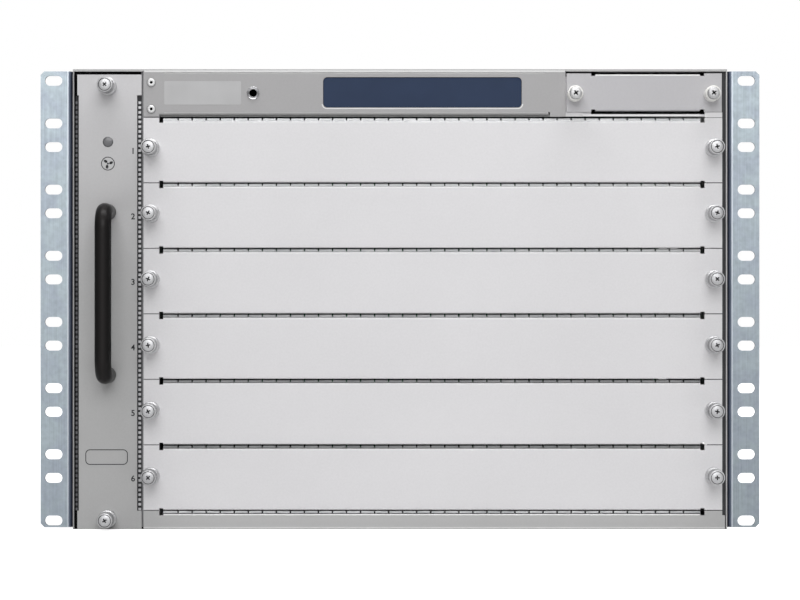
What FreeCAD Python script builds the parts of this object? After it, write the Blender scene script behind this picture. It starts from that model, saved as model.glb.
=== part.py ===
import FreeCAD, Part
import math
import os
from types import SimpleNamespace

import Sketcher

# Router chassis, seven rack units high, with six blanked card slots, a fan tray
# on the left and two power supplies at the rear. Millimetres, +Z up, front at -Y.
# The origin lies in the middle of the chassis underside.

SLOT_COUNT = 6
FAN_ROWS = 2
FAN_COLUMNS = 3
BLADE_COUNT = 7
RACK_UNITS = 7
VENT_ROWS = 16
VENT_COLUMNS = 4
EAR_SCREW_COUNT = 4
PLUGS_PER_SLOT = 3
REAR_VENT_ROWS = 5
REAR_VENT_COLUMNS = 5
DOME_STEPS = 4

SIZES = {
    # chassis shell
    "chassis_width": 438,
    "rack_unit": 44.45,
    "rack_clearance": 3.15,
    "chassis_depth": 552,
    "wall_sheet": 1.5,
    "face_sheet": 1.5,
    "bend_radius": 1.5,
    "inner_bend": 0.4,
    "lid_flange": 16,
    "lid_setback": 14,
    "rear_flange": 12,
    "left_flange": 4,
    "right_flange": 12,
    "side_rim": 0.8,
    # vents in the side panels and in the rear panel
    "vent_length": 84,
    "vent_width": 7,
    "vent_pitch_along": 96,
    "vent_first_y": 70,
    "vent_first_z": 34,
    "rear_vent_length": 60,
    "rear_vent_pitch": 72,
    "rear_vent_rise": 30,
    # card cage
    "fan_bay_width": 47,
    "cage_top_drop": 32.2,
    "slot_base": 12.7,
    "cage_depth": 424,
    "left_post_flange": 11,
    "window_height": 24,
    "window_front": 46,
    "window_rear": 48,
    "guide_depth": 7,
    "guide_height": 7,
    "guide_groove": 2.4,
    "guide_groove_depth": 4.5,
    "guide_front": 24,
    "guide_rear": 30,
    "guide_rise": 9,
    "deck_gap": 0.6,
    "deck_tongue_left_inset": 97,
    "deck_tab_left_inset": 118,
    "deck_tab_right_inset": 91,
    "deck_tab_top_drop": 5,
    "backplane_thickness": 4,
    "backplane_edge": 1,
    "plug_width": 74,
    "plug_height": 13,
    "plug_depth": 12,
    # slot covers
    "edge_gap": 0.3,
    "side_gap": 1.8,
    "cover_gap": 0.6,
    "left_tab": 10.4,
    "right_tab": 11.8,
    "relief_width": 2.8,
    "relief_depth": 1.1,
    "fold_radius": 1,
    "gasket_sink": 2.2,
    "channel_depth": 12,
    # finger gaskets
    "gasket_height": 1.8,
    "gasket_base": 0.5,
    "gasket_setback": 0.4,
    "gasket_width": 7,
    "gasket_crown": 2.6,
    "gasket_peak": 5.4,
    "finger_pitch": 9.4,
    "finger_slit": 1,
    # captive screws
    "screw_margin": 5.3,
    "screw_right_inset": 9,
    "screw_rise": 1.2,
    "ferrule_radius": 5.9,
    "ferrule_height": 7,
    "head_radius": 5.1,
    "head_height": 19.5,
    "neck_radius": 4.2,
    "neck_height": 1.2,
    "head_chamfer": 0.7,
    "cross_width": 1.1,
    "cross_length": 5.4,
    "cross_depth": 1.8,
    "shank_radius": 2,
    "shank_reach": 8,
    "screw_clearance": 0.4,
    # base pan sill
    "sill_top": 10.4,
    "fan_lip": 13,
    # front bezel
    "bezel_right_inset": 108.2,
    "bezel_bottom_drop": 29.8,
    "bezel_top_drop": 1.8,
    "bezel_tab_bottom_drop": 31.8,
    "badge_left_inset": 167.5,
    "badge_right_inset": 137.5,
    "badge_bottom_drop": 25.7,
    "badge_top_drop": 5.3,
    "badge_corner": 3,
    "badge_recess": 0.9,
    "badge_thickness": 0.5,
    "badge_gap": 0.4,
    "rivet_margin": 5.5,
    "rivet_low_drop": 26.7,
    "rivet_high_drop": 8.9,
    "rivet_radius": 3.05,
    "rivet_head": 0.9,
    "rivet_bore": 0.9,
    "rivet_shank": 1.6,
    "socket_offset_inset": 120.7,
    "socket_height_drop": 16,
    "socket_radius": 4.2,
    "socket_bore": 2.1,
    "socket_length": 16,
    "socket_barrel": 3.4,
    "socket_lip": 0.8,
    # sensor module
    "sensor_left_inset": 107.5,
    "sensor_bottom_drop": 28,
    "sensor_top_drop": 3.4,
    "sensor_tab_rise": 0.6,
    "sensor_left_tab": 16.5,
    "sensor_screw_left_inset": 102.1,
    "sensor_screw_right_inset": 10.5,
    "sensor_screw_height_drop": 16.8,
    "sleeve_radius": 5.1,
    "sleeve_height": 11,
    "pan_radius": 4.1,
    "pan_height": 3.4,
    "pan_dome": 1.4,
    "board_margin": 4,
    "board_length": 120,
    "board_thickness": 1.6,
    "board_rise": 3.5,
    "sensor_plug": 9,
    # fan tray
    "tray_left_inset": 3,
    "tray_clearance": 1,
    "tray_bottom": 0.3,
    "tray_top_drop": 3.6,
    "notch_bottom": 12.4,
    "notch_top_drop": 17.4,
    "left_notch": 1,
    "right_notch": 3,
    "tray_screw_low": 7.3,
    "tray_screw_high_drop": 11.7,
    "tray_finger_pitch": 3.2,
    "tray_finger_depth": 0.9,
    "tray_finger_slit": 1.5,
    "tray_finger_rise": 0.5,
    "tray_gasket_gap": 0.35,
    "lens_height_drop": 48.7,
    "lens_radius": 3.5,
    "lens_length": 6,
    "lens_dome": 0.6,
    "handle_radius": 5.5,
    "handle_length": 109,
    "handle_high_drop": 95.7,
    "handle_reach": 28,
    "handle_bend": 11,
    "tray_frame_left_inset": 6,
    "tray_frame_clearance": 4.5,
    "tray_frame_bottom": 15,
    "tray_frame_top_drop": 19,
    "tray_frame_rear": 22,
    "fan_gap": 5,
    "fan_margin": 14,
    "fan_rear_margin": 16,
    "fan_clearance": 3,
    "fan_corner": 6,
    "fan_rim": 3,
    "fan_hub": 23,
    "fan_spider": 3,
    "fan_strut": 5,
    "impeller_hub": 21,
    "blade_sink": 4,
    "blade_gap": 3.5,
    "impeller_setback": 8,
    "impeller_gap": 0.6,
    "blade_root_chord": 19,
    "blade_root_sweep": 8,
    "blade_tip_chord": 13,
    "blade_tip_sweep": 13,
    "blade_thickness": 1.8,
    "tray_plug_height": 60,
    "tray_plug_width": 12,
    "tray_plug_depth": 9,
    "tray_plug_rise": 120,
    # rack ears
    "ear_flange": 22.3,
    "ear_sheet": 2,
    "ear_setback": 5,
    "ear_bottom": 1,
    "ear_leg": 42,
    "ear_bend": 5,
    "ear_chamfer": 2.5,
    "rack_offset": 13.55,
    "rack_pair": 28.575,
    "rack_first": 5.4,
    "rack_slot_length": 11.7,
    "rack_slot_width": 6.7,
    "ear_screw_radius": 4,
    "ear_screw_head": 2.2,
    "ear_screw_first": 40,
    "ear_screw_leg": 26,
    "ear_screw_shank": 2,
    # power supplies
    "supply_side_room": 21.5,
    "supply_height_drop": 130,
    "supply_split": 16,
    "supply_gap": 0.6,
    "supply_plug_gap": 14,
    "supply_overlap": 5,
    "supply_plate": 2,
    "supply_vent_count": 9,
    "supply_vent_width": 5,
    "supply_vent_height": 70,
    "supply_vent_pitch": 10,
    "supply_vent_depth": 6,
    "inlet_width": 34,
    "inlet_height": 27,
    "inlet_depth": 18,
    "inlet_lip": 2,
    "inlet_wall": 3,
    "pin_width": 2,
    "pin_height": 4,
    "pin_spread": 7,
    "pin_step": 4,
    "inlet_side": 50.2,
    "inlet_rise": 45,
    "supply_handle_radius": 4,
    "supply_handle_reach": 30,
    "supply_handle_bend": 9,
    "supply_handle_span": 110,
    "supply_handle_fall": 26,
}


class Size:
    """A length that carries both its number and the sheet formula it comes from."""

    def __init__(self, text, value):
        self.text = text
        self.value = value

    def _join(self, sign, other, value):
        return Size(f"({self.text} {sign} {formula(other)})", value)

    def __add__(self, other):
        return self._join("+", other, self.value + number(other))

    def __sub__(self, other):
        return self._join("-", other, self.value - number(other))

    def __mul__(self, other):
        return self._join("*", other, self.value * number(other))

    def __truediv__(self, other):
        return self._join("/", other, self.value / number(other))

    def __radd__(self, other):
        return self + other

    def __rmul__(self, other):
        return self * other

    def __rsub__(self, other):
        return -self + other

    def __neg__(self):
        return Size(f"(0 - {self.text})", -self.value)


def number(size):
    return size.value if isinstance(size, Size) else size


def formula(size):
    return size.text if isinstance(size, Size) else f"({size})"


def smaller(first, second):
    """The smaller of two sizes."""
    return Size(f"min({first.text}; {second.text})", min(first.value, second.value))


def whole(size):
    """The whole number below a size, for counts."""
    return Size(f"floor({size.text})", math.floor(size.value))


doc = FreeCAD.newDocument("router_chassis")
sheet = doc.addObject("Spreadsheet::Sheet", "Sizes")
for row, (alias, amount) in enumerate(SIZES.items(), start=1):
    sheet.set(f"A{row}", alias)
    sheet.set(f"B{row}", str(amount))
    sheet.setAlias(f"B{row}", alias)
doc.recompute()
size = SimpleNamespace(**{alias: Size(f"Sizes.{alias}", amount) for alias, amount in SIZES.items()})
size.chassis_height = size.rack_unit * RACK_UNITS - size.rack_clearance

# Planes and faces that many pieces share.
FRONT = -size.chassis_depth / 2
REAR = size.chassis_depth / 2
OUTER = size.chassis_width / 2
INNER = OUTER - size.wall_sheet
CEILING = size.chassis_height - size.wall_sheet
SEAT = FRONT + size.face_sheet
SEAT_BACK = SEAT + size.wall_sheet
CAGE_LEFT = size.fan_bay_width - OUTER
WALL_LEFT = CAGE_LEFT - size.wall_sheet
BACKPLANE = FRONT + size.cage_depth
BACKPLANE_BACK = BACKPLANE + size.backplane_thickness
CAGE_TOP = size.chassis_height - size.cage_top_drop
DECK_BOTTOM = CAGE_TOP + size.deck_gap
DECK_TOP = DECK_BOTTOM + size.wall_sheet
TRAY_X = CAGE_LEFT - size.fan_bay_width / 2
SCREW_HOLE = size.shank_radius + size.screw_clearance

# A size that ends in _drop is measured down from the lid, and one that ends in _inset
# is measured in from the outside of a side panel. Both are used as plain places.
for alias in SIZES:
    if alias.endswith("_drop"):
        setattr(size, alias.removesuffix("_drop"), size.chassis_height - getattr(size, alias))
    if alias.endswith("_inset"):
        setattr(size, alias.removesuffix("_inset"), OUTER - getattr(size, alias))

# Sizes that follow from the space between other pieces.
size.slot_pitch = (CAGE_TOP - size.slot_base) / SLOT_COUNT
size.vent_pitch_up = (size.chassis_height - size.vent_first_z * 2) / (VENT_ROWS - 1)
size.window_length = size.cage_depth - size.window_front - size.window_rear
size.guide_length = size.cage_depth - size.guide_front - size.guide_rear
size.screw_left = -CAGE_LEFT - size.screw_margin
size.rivet_offset = -CAGE_LEFT - size.rivet_margin
size.tray_right = -CAGE_LEFT + size.tray_clearance
size.handle_low = size.handle_high - size.handle_length
size.tray_frame_right = -CAGE_LEFT + size.tray_frame_clearance
size.tray_frame_length = size.cage_depth - size.tray_frame_rear
size.fan_row_pitch = (size.tray_frame_top - size.tray_frame_bottom - size.wall_sheet * 2) / FAN_ROWS
size.fan_pitch = (size.tray_frame_length - size.fan_margin - size.fan_rear_margin) / FAN_COLUMNS
size.fan_size = smaller(size.fan_pitch, size.fan_row_pitch) - size.fan_gap
size.fan_bore = size.fan_size / 2 - size.fan_rim
size.impeller_tip = size.fan_bore - size.blade_gap
size.fan_depth = size.tray_frame_left - size.tray_frame_right - size.wall_sheet - size.fan_clearance
size.impeller_length = size.fan_depth - size.impeller_setback
size.ear_span = size.chassis_width + size.ear_flange * 2
size.ear_height = size.chassis_height - size.ear_bottom * 2
size.rack_span = size.chassis_width + size.rack_offset * 2
size.ear_screw_pitch = (size.chassis_height - size.ear_screw_first * 2) / (EAR_SCREW_COUNT - 1)
size.supply_width = INNER - size.supply_side_room
size.supply_offset = (size.supply_width + size.supply_split) / 2
size.supply_handle_rise = size.supply_height - size.supply_handle_fall

# In a sketch plane, the two axes drawn and the way the plane's normal points.
PLANE_AXES = {"XY": (0, 1), "XZ": (0, 2), "YZ": (1, 2)}
PLANE_NORMAL = {"XY": 1, "XZ": -1, "YZ": 1}


def bind(thing, property_name, length):
    thing.setExpression(property_name, formula(length))


def place(thing, x=0, y=0, z=0):
    for axis, distance in (("x", x), ("y", y), ("z", z)):
        bind(thing, f"Placement.Base.{axis}", distance)
    return thing


def new_body(label):
    body = doc.addObject("PartDesign::Body", label)
    body.Label = label
    return body


def new_sketch(body, plane, level=0):
    """A sketch on one of the body's own origin planes, moved to a level along its axis."""
    sketch = body.newObject("Sketcher::SketchObject", "Sketch")
    role = f"{plane}_Plane"
    origin_plane = next(item for item in body.Origin.OriginFeatures if item.Role == role)
    sketch.AttachmentSupport = [(origin_plane, "")]
    sketch.MapMode = "FlatFace"
    bind(sketch, "AttachmentOffset.Base.z", level * PLANE_NORMAL[plane])
    return sketch


def pin(sketch, geometry, position, u, v):
    """Hold one point of the sketch at (u, v)."""
    for kind, distance in (("DistanceX", u), ("DistanceY", v)):
        constraint = Sketcher.Constraint(kind, -1, 1, geometry, position, number(distance))
        index = sketch.addConstraint(constraint)
        bind(sketch, f"Constraints[{index}]", distance)


def draw_polygon(sketch, points):
    corners = [FreeCAD.Vector(number(u), number(v), 0) for u, v in points]
    first = sketch.GeometryCount
    count = len(corners)
    for index in range(count):
        sketch.addGeometry(Part.LineSegment(corners[index], corners[(index + 1) % count]))
    for index in range(count):
        following = first + (index + 1) % count
        sketch.addConstraint(Sketcher.Constraint("Coincident", first + index, 2, following, 1))
    for index, (u, v) in enumerate(points):
        pin(sketch, first + index, 1, u, v)


def draw_rectangle(sketch, u_range, v_range):
    (u_low, u_high), (v_low, v_high) = u_range, v_range
    draw_polygon(sketch, [(u_low, v_low), (u_high, v_low), (u_high, v_high), (u_low, v_high)])


def draw_circle(sketch, u, v, radius):
    centre = FreeCAD.Vector(number(u), number(v), 0)
    index = sketch.addGeometry(Part.Circle(centre, FreeCAD.Vector(0, 0, 1), number(radius)))
    pin(sketch, index, 3, u, v)
    constraint = sketch.addConstraint(Sketcher.Constraint("Radius", index, number(radius)))
    bind(sketch, f"Constraints[{constraint}]", radius)


def draw_slot(sketch, u, v, length, width):
    """An obround along the sketch's first axis."""
    radius = width / 2
    reach = (length - width) / 2
    upright = FreeCAD.Vector(0, 0, 1)
    arcs = []
    for side, start in ((1, -math.pi / 2), (-1, math.pi / 2)):
        centre = FreeCAD.Vector(number(u + reach * side), number(v), 0)
        circle = Part.Circle(centre, upright, number(radius))
        arc = sketch.addGeometry(Part.ArcOfCircle(circle, start, start + math.pi))
        pin(sketch, arc, 3, u + reach * side, v)
        constraint = sketch.addConstraint(Sketcher.Constraint("Radius", arc, number(radius)))
        bind(sketch, f"Constraints[{constraint}]", radius)
        arcs.append(arc)
    right, left = arcs
    for start, end in (((right, 2), (left, 1)), ((left, 2), (right, 1))):
        line = sketch.addGeometry(Part.LineSegment(sketch.getPoint(*start), sketch.getPoint(*end)))
        sketch.addConstraint(Sketcher.Constraint("Tangent", line, 1, *start))
        sketch.addConstraint(Sketcher.Constraint("Tangent", line, 2, *end))


def pad(body, sketch, plane, length):
    feature = body.newObject("PartDesign::Pad", "Pad")
    feature.Profile = sketch
    bind(feature, "Length", length)
    feature.Reversed = PLANE_NORMAL[plane] < 0
    doc.recompute()
    return feature


def pocket(body, sketch, plane, length):
    """Cut from the sketch along its positive axis, and make sure that something was cut."""
    before = body.Tip.Shape.Volume
    feature = body.newObject("PartDesign::Pocket", "Pocket")
    feature.Profile = sketch
    bind(feature, "Length", length)
    feature.Reversed = PLANE_NORMAL[plane] > 0
    doc.recompute()
    if not feature.Shape.Volume < before - 1e-6:
        raise RuntimeError(f"a pocket in {body.Label} cuts nothing")
    return feature


def pattern(body, feature, sketch, first, second=None):
    """Repeat a feature along the sketch's axes: (axis, spacing, count) once or twice."""
    repeat = body.newObject("PartDesign::LinearPattern", "Pattern")
    repeat.Originals = [feature]
    for suffix, run in (("", first), ("2", second)):
        if run is None:
            continue
        axis, spacing, count = run
        setattr(repeat, f"Direction{suffix}", (sketch, [axis]))
        setattr(repeat, f"Mode{suffix}", "Spacing")
        bind(repeat, f"Offset{suffix}", spacing)
        bind(repeat, f"Occurrences{suffix}", count)
    body.Tip = repeat
    doc.recompute()
    return repeat


def bend(body, plane, corners, radius, start=None):
    """Round the edges that stand on the given corners of a sketch plane.

    With a start, only the edges that begin at that level are rounded.
    """
    base = body.Tip
    first, second = PLANE_AXES[plane]
    along = 3 - first - second
    wanted = [(number(u), number(v)) for u, v in corners]
    names = []
    for index, edge in enumerate(base.Shape.Edges, start=1):
        if len(edge.Vertexes) != 2:
            continue
        ends = [vertex.Point for vertex in edge.Vertexes]
        if start is not None and abs(min(end[along] for end in ends) - number(start)) > 1e-4:
            continue
        for u, v in wanted:
            if all(abs(end[first] - u) < 1e-4 and abs(end[second] - v) < 1e-4 for end in ends):
                names.append(f"Edge{index}")
    if not names:
        raise RuntimeError(f"no edge to round in {body.Label}")
    feature = body.newObject("PartDesign::Fillet", "Bend")
    feature.Base = (base, names)
    bind(feature, "Radius", radius)
    doc.recompute()
    return feature


def prism(body, plane, level, length, points):
    sketch = new_sketch(body, plane, level)
    draw_polygon(sketch, points)
    return pad(body, sketch, plane, length)


def drill(body, plane, level, length, holes):
    """Round holes through a face: a list of (u, v, radius)."""
    sketch = new_sketch(body, plane, level)
    for u, v, radius in holes:
        draw_circle(sketch, u, v, radius)
    return pocket(body, sketch, plane, length)


def turned(label, points, axis="V_Axis"):
    """A turned piece. Points are (radius, along) about Y, or (along, radius) about X."""
    body = new_body(label)
    sketch = new_sketch(body, "XY")
    draw_polygon(sketch, points)
    feature = body.newObject("PartDesign::Revolution", "Turning")
    feature.Profile = sketch
    feature.ReferenceAxis = (sketch, [axis])
    feature.Angle = 360
    doc.recompute()
    return body


def dome(radius, rise):
    """Points of a rounded head from its crown out to its rim, as (radius, rise)."""
    points = [(0, rise)]
    for step in range(1, DOME_STEPS):
        angle = math.pi / 2 * step / DOME_STEPS
        points.append((radius * math.sin(angle), rise * math.cos(angle)))
    return points + [(radius, 0)]


def box(label, x_range, y_range, z_range):
    block = doc.addObject("Part::Box", label)
    block.Label = label
    for side, (low, high) in (("Length", x_range), ("Width", y_range), ("Height", z_range)):
        bind(block, side, high - low)
    return place(block, x_range[0], y_range[0], z_range[0])


def group(label, members):
    """Separate solids that share one name, such as a set of fasteners."""
    compound = doc.addObject("Part::Compound", label)
    compound.Label = label
    compound.Links = members
    return compound


def cross_recess(body, level):
    """The driver's cross, cut into a head that faces -Y."""
    half, arm = size.cross_width / 2, size.cross_length / 2
    sketch = new_sketch(body, "XZ", level)
    draw_polygon(sketch, [
        (-arm, -half), (-half, -half), (-half, -arm), (half, -arm), (half, -half), (arm, -half),
        (arm, half), (half, half), (half, arm), (-half, arm), (-half, half), (-arm, half),
    ])
    pocket(body, sketch, "XZ", size.cross_depth)


def captive_screw(label, x, z):
    """Ferrule, neck, knob and shank of a captive panel screw, turned as one about Y."""
    neck = size.ferrule_height + size.neck_height
    body = turned(label, [
        (0, -size.head_height),
        (size.head_radius - size.head_chamfer, -size.head_height),
        (size.head_radius, -size.head_height + size.head_chamfer),
        (size.head_radius, -neck),
        (size.neck_radius, -neck),
        (size.neck_radius, -size.ferrule_height),
        (size.ferrule_radius - size.head_chamfer, -size.ferrule_height),
        (size.ferrule_radius, -size.ferrule_height + size.head_chamfer),
        (size.ferrule_radius, 0),
        (size.shank_radius, 0),
        (size.shank_radius, size.shank_reach),
        (0, size.shank_reach),
    ])
    cross_recess(body, -size.head_height)
    return place(body, x, FRONT, z)


def folded_panel(label, x_range, tabs, z_range, tab_range):
    """A sheet face with flat end tabs and flanges folded back between them.

    Tabs are the widths of the left and right tabs. The face between them spans z_range and
    the tabs span tab_range. Relief cuts part the tabs from the folds.
    """
    left, right = x_range
    low, high = z_range
    tab_low, tab_high = tab_range
    tab_left, tab_right = left + tabs[0], right - tabs[1]
    flat_low, flat_high = low + size.relief_depth, high - size.relief_depth
    back = FRONT + size.channel_depth
    body = new_body(label)
    prism(body, "XZ", FRONT, size.face_sheet, [
        (left, tab_low), (tab_left, tab_low), (tab_left, flat_low), (tab_right, flat_low),
        (tab_right, tab_low), (right, tab_low), (right, tab_high), (tab_right, tab_high),
        (tab_right, flat_high), (tab_left, flat_high), (tab_left, tab_high), (left, tab_high),
    ])
    channel_start = tab_left + size.relief_width
    channel_length = tab_right - size.relief_width - channel_start
    prism(body, "YZ", channel_start, channel_length, [
        (FRONT, low), (back, low), (back, low + size.face_sheet), (SEAT, low + size.face_sheet),
        (SEAT, high - size.face_sheet), (back, high - size.face_sheet), (back, high), (FRONT, high),
    ])
    inside = [(SEAT, low + size.face_sheet), (SEAT, high - size.face_sheet)]
    bend(body, "YZ", [(FRONT, low), (FRONT, high)], size.fold_radius, channel_start)
    bend(body, "YZ", inside, size.inner_bend, channel_start)
    return body


def finger_strip(label, x_range, base):
    """A spring-finger gasket that lies on a flange whose top is at the height given.

    Behind its fingers it rises almost to the panel above, which closes the joint to the eye.
    """
    left, right = x_range
    front = FRONT + size.gasket_setback
    peak = base + size.gasket_sink + size.cover_gap - size.edge_gap
    body = new_body(label)
    prism(body, "YZ", left, right - left, [
        (front, base),
        (front + size.gasket_width, base),
        (front + size.gasket_width, base + size.gasket_base),
        (front + size.gasket_peak, peak),
        (front + size.gasket_crown, base + size.gasket_height),
        (front + size.gasket_base, base + size.gasket_height),
        (front, base + size.gasket_base),
    ])
    slit = new_sketch(body, "XZ", front)
    first = left + size.finger_pitch
    top = base + size.gasket_height * 2
    draw_rectangle(slit, (first, first + size.finger_slit), (base + size.gasket_base, top))
    cut = pocket(body, slit, "XZ", size.gasket_width)
    pattern(body, cut, slit, ("H_Axis", size.finger_pitch, whole((right - left) / size.finger_pitch) - 1))
    return body


def edge_comb(label, base_x, tip_x):
    """A spring-finger gasket along an upright edge of the fan tray panel.

    A plain strip carries a row of fingers that stand out of its front.
    """
    side = 1 if number(tip_x) > number(base_x) else -1
    root_x = base_x + size.tray_finger_depth * side
    low, high = size.notch_bottom + size.edge_gap, size.notch_top - size.edge_gap
    front = FRONT + size.edge_gap
    strip_front = front + size.tray_finger_rise
    body = new_body(label)
    prism(body, "XZ", strip_front, SEAT - strip_front, [
        (base_x, low), (tip_x, low), (tip_x, high), (base_x, high),
    ])
    finger = new_sketch(body, "XZ", front)
    finger_top = low + size.tray_finger_pitch - size.tray_finger_slit
    draw_rectangle(finger, (root_x, tip_x), (low, finger_top))
    first = pad(body, finger, "XZ", size.tray_finger_rise)
    count = whole((high - low) / size.tray_finger_pitch)
    pattern(body, first, finger, ("V_Axis", size.tray_finger_pitch, count))
    return body


def bow_handle(label, x_or_z, low, high, face, reach, bend_radius, radius, upright):
    """A round bar bent to a bow that stands on a face, upright or lying along X."""
    side = 1 if number(reach) > 0 else -1
    body = new_body(label)
    path_plane = "YZ" if upright else "XY"
    path = new_sketch(body, path_plane, x_or_z)
    turn = bend_radius
    out = reach - turn * side

    def point(along, away):
        """A point of the path, in the sketch's own axes."""
        return (face + away, along) if upright else (along, face + away)

    spans = [
        (point(low, 0), point(low, out)),
        (point(low + turn, reach), point(high - turn, reach)),
        (point(high, out), point(high, 0)),
    ]
    centres = [point(low + turn, out), point(high - turn, out)]
    lines = []
    for start, end in spans:
        ends = [FreeCAD.Vector(number(u), number(v), 0) for u, v in (start, end)]
        line = sketch_line(path, ends, start, end)
        lines.append(line)
    for centre, before, after in ((centres[0], lines[0], lines[1]), (centres[1], lines[1], lines[2])):
        bend_arc(path, centre, turn, before, after)
    section = new_sketch(body, "XZ", face)
    if upright:
        draw_circle(section, x_or_z, low, radius)
    else:
        draw_circle(section, low, x_or_z, radius)
    doc.recompute()
    pipe = body.newObject("PartDesign::AdditivePipe", "Bar")
    pipe.Profile = section
    pipe.Spine = (path, [f"Edge{index}" for index in range(1, 6)])
    doc.recompute()
    return body


def sketch_line(sketch, ends, start, end):
    line = sketch.addGeometry(Part.LineSegment(*ends))
    pin(sketch, line, 1, *start)
    pin(sketch, line, 2, *end)
    return line


def bend_arc(sketch, centre, radius, before, after):
    """A quarter turn from the end of one line to the start of the next."""
    start = sketch.getPoint(before, 2)
    end = sketch.getPoint(after, 1)
    middle = FreeCAD.Vector(number(centre[0]), number(centre[1]), 0)
    towards = (start + end) * 0.5 - middle
    towards.normalize()
    arc = Part.Arc(start, middle + towards * number(radius), end)
    index = sketch.addGeometry(arc)
    drawn_start = sketch.getPoint(index, 1)
    ends = (1, 2) if drawn_start.distanceToPoint(start) < 1e-6 else (2, 1)
    sketch.addConstraint(Sketcher.Constraint("Coincident", index, ends[0], before, 2))
    sketch.addConstraint(Sketcher.Constraint("Coincident", index, ends[1], after, 1))
    constraint = sketch.addConstraint(Sketcher.Constraint("Radius", index, number(radius)))
    bind(sketch, f"Constraints[{constraint}]", radius)
    return index


def make_base_pan():
    """Floor with the folded sill under the card cage and a plain lip in the fan bay."""
    body = new_body("base_pan")
    sheet_in = size.wall_sheet
    rear = REAR - size.wall_sheet
    lip_top = size.sill_top - size.relief_depth
    sill_left = CAGE_LEFT + size.edge_gap
    prism(body, "YZ", sill_left, INNER - sill_left, [
        (FRONT, 0), (rear, 0), (rear, sheet_in), (SEAT, sheet_in), (SEAT, lip_top), (FRONT, lip_top),
    ])
    bend(body, "YZ", [(FRONT, 0)], size.bend_radius)
    prism(body, "YZ", -INNER, sill_left + INNER, [
        (SEAT, 0), (rear, 0), (rear, sheet_in), (SEAT, sheet_in),
    ])
    prism(body, "XZ", SEAT, size.wall_sheet, [
        (-INNER, 0), (WALL_LEFT, 0), (WALL_LEFT, size.fan_lip), (-INNER, size.fan_lip),
    ])
    tab_top = size.slot_base - size.cover_gap / 2
    right = INNER - size.side_gap
    tabs = new_sketch(body, "XZ", FRONT)
    draw_rectangle(tabs, (sill_left, sill_left + size.left_tab), (sheet_in, tab_top))
    draw_rectangle(tabs, (right - size.right_tab, right), (sheet_in, tab_top))
    pad(body, tabs, "XZ", size.face_sheet)
    fold_left = sill_left + size.left_tab + size.relief_width
    fold_right = right - size.right_tab - size.relief_width
    back = FRONT + size.channel_depth
    prism(body, "YZ", fold_left, fold_right - fold_left, [
        (FRONT, lip_top), (SEAT, lip_top), (SEAT, size.sill_top - size.face_sheet),
        (back, size.sill_top - size.face_sheet), (back, size.sill_top), (FRONT, size.sill_top),
    ])
    bend(body, "YZ", [(FRONT, size.sill_top)], size.fold_radius, fold_left)
    drill(body, "XZ", SEAT, size.wall_sheet, [(TRAY_X, size.tray_screw_low, SCREW_HOLE)])
    return body


def make_sill_gasket():
    """Finger gasket on the sill, under the lowest slot cover."""
    left = CAGE_LEFT + size.edge_gap + size.left_tab + size.relief_width
    right = INNER - size.side_gap - size.right_tab - size.relief_width
    return finger_strip("sill_gasket", (left, right), size.sill_top)


def make_side_panel(label, side, flange):
    """A slotted side wall with a front flange that carries the panels and a rear flange."""
    body = new_body(label)
    outer, inner = OUTER * side, INNER * side
    rim = (OUTER - size.side_rim) * side
    front_edge = (INNER - flange) * side
    rear_edge = (INNER - size.rear_flange) * side
    rear_seat = REAR - size.wall_sheet
    rear_back = rear_seat - size.wall_sheet
    prism(body, "XY", 0, CEILING, [
        (outer, FRONT), (rim, FRONT), (rim, SEAT), (front_edge, SEAT), (front_edge, SEAT_BACK),
        (inner, SEAT_BACK), (inner, rear_back), (rear_edge, rear_back), (rear_edge, rear_seat),
        (inner, rear_seat), (inner, REAR), (outer, REAR),
    ])
    if side > 0:
        notch = new_sketch(body, "XY", 0)
        draw_rectangle(notch, (front_edge, inner), (SEAT, SEAT_BACK))
        pocket(body, notch, "XY", size.wall_sheet)
    else:
        notch = new_sketch(body, "XY", 0)
        draw_rectangle(notch, (inner, front_edge), (SEAT, SEAT_BACK))
        pocket(body, notch, "XY", size.fan_lip)
    rear_notch = new_sketch(body, "XY", 0)
    rear_low, rear_high = sorted((inner, rear_edge), key=number)
    draw_rectangle(rear_notch, (rear_low, rear_high), (rear_back, rear_seat))
    pocket(body, rear_notch, "XY", size.wall_sheet)
    low = min(outer, inner, key=number)
    vent = new_sketch(body, "YZ", low)
    first_y = FRONT + size.vent_first_y
    draw_rectangle(
        vent,
        (first_y, first_y + size.vent_length),
        (size.vent_first_z, size.vent_first_z + size.vent_width),
    )
    slot = pocket(body, vent, "YZ", size.wall_sheet)
    pattern(
        body, slot, vent,
        ("H_Axis", size.vent_pitch_along, VENT_COLUMNS),
        ("V_Axis", size.vent_pitch_up, VENT_ROWS),
    )
    return body


def slot_screw_height(index):
    """Height of the captive screws of a slot, counted from the top."""
    return slot_bottom(index) + size.slot_pitch / 2 + size.screw_rise


def slot_bottom(index):
    return size.slot_base + size.slot_pitch * (SLOT_COUNT - 1 - index)


def make_right_side():
    body = make_side_panel("right_side_panel", 1, size.right_flange)
    holes = [(size.screw_right, slot_screw_height(index), SCREW_HOLE) for index in range(SLOT_COUNT)]
    holes.append((size.sensor_screw_right, size.sensor_screw_height, SCREW_HOLE))
    drill(body, "XZ", SEAT, size.wall_sheet, holes)
    return body


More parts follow.
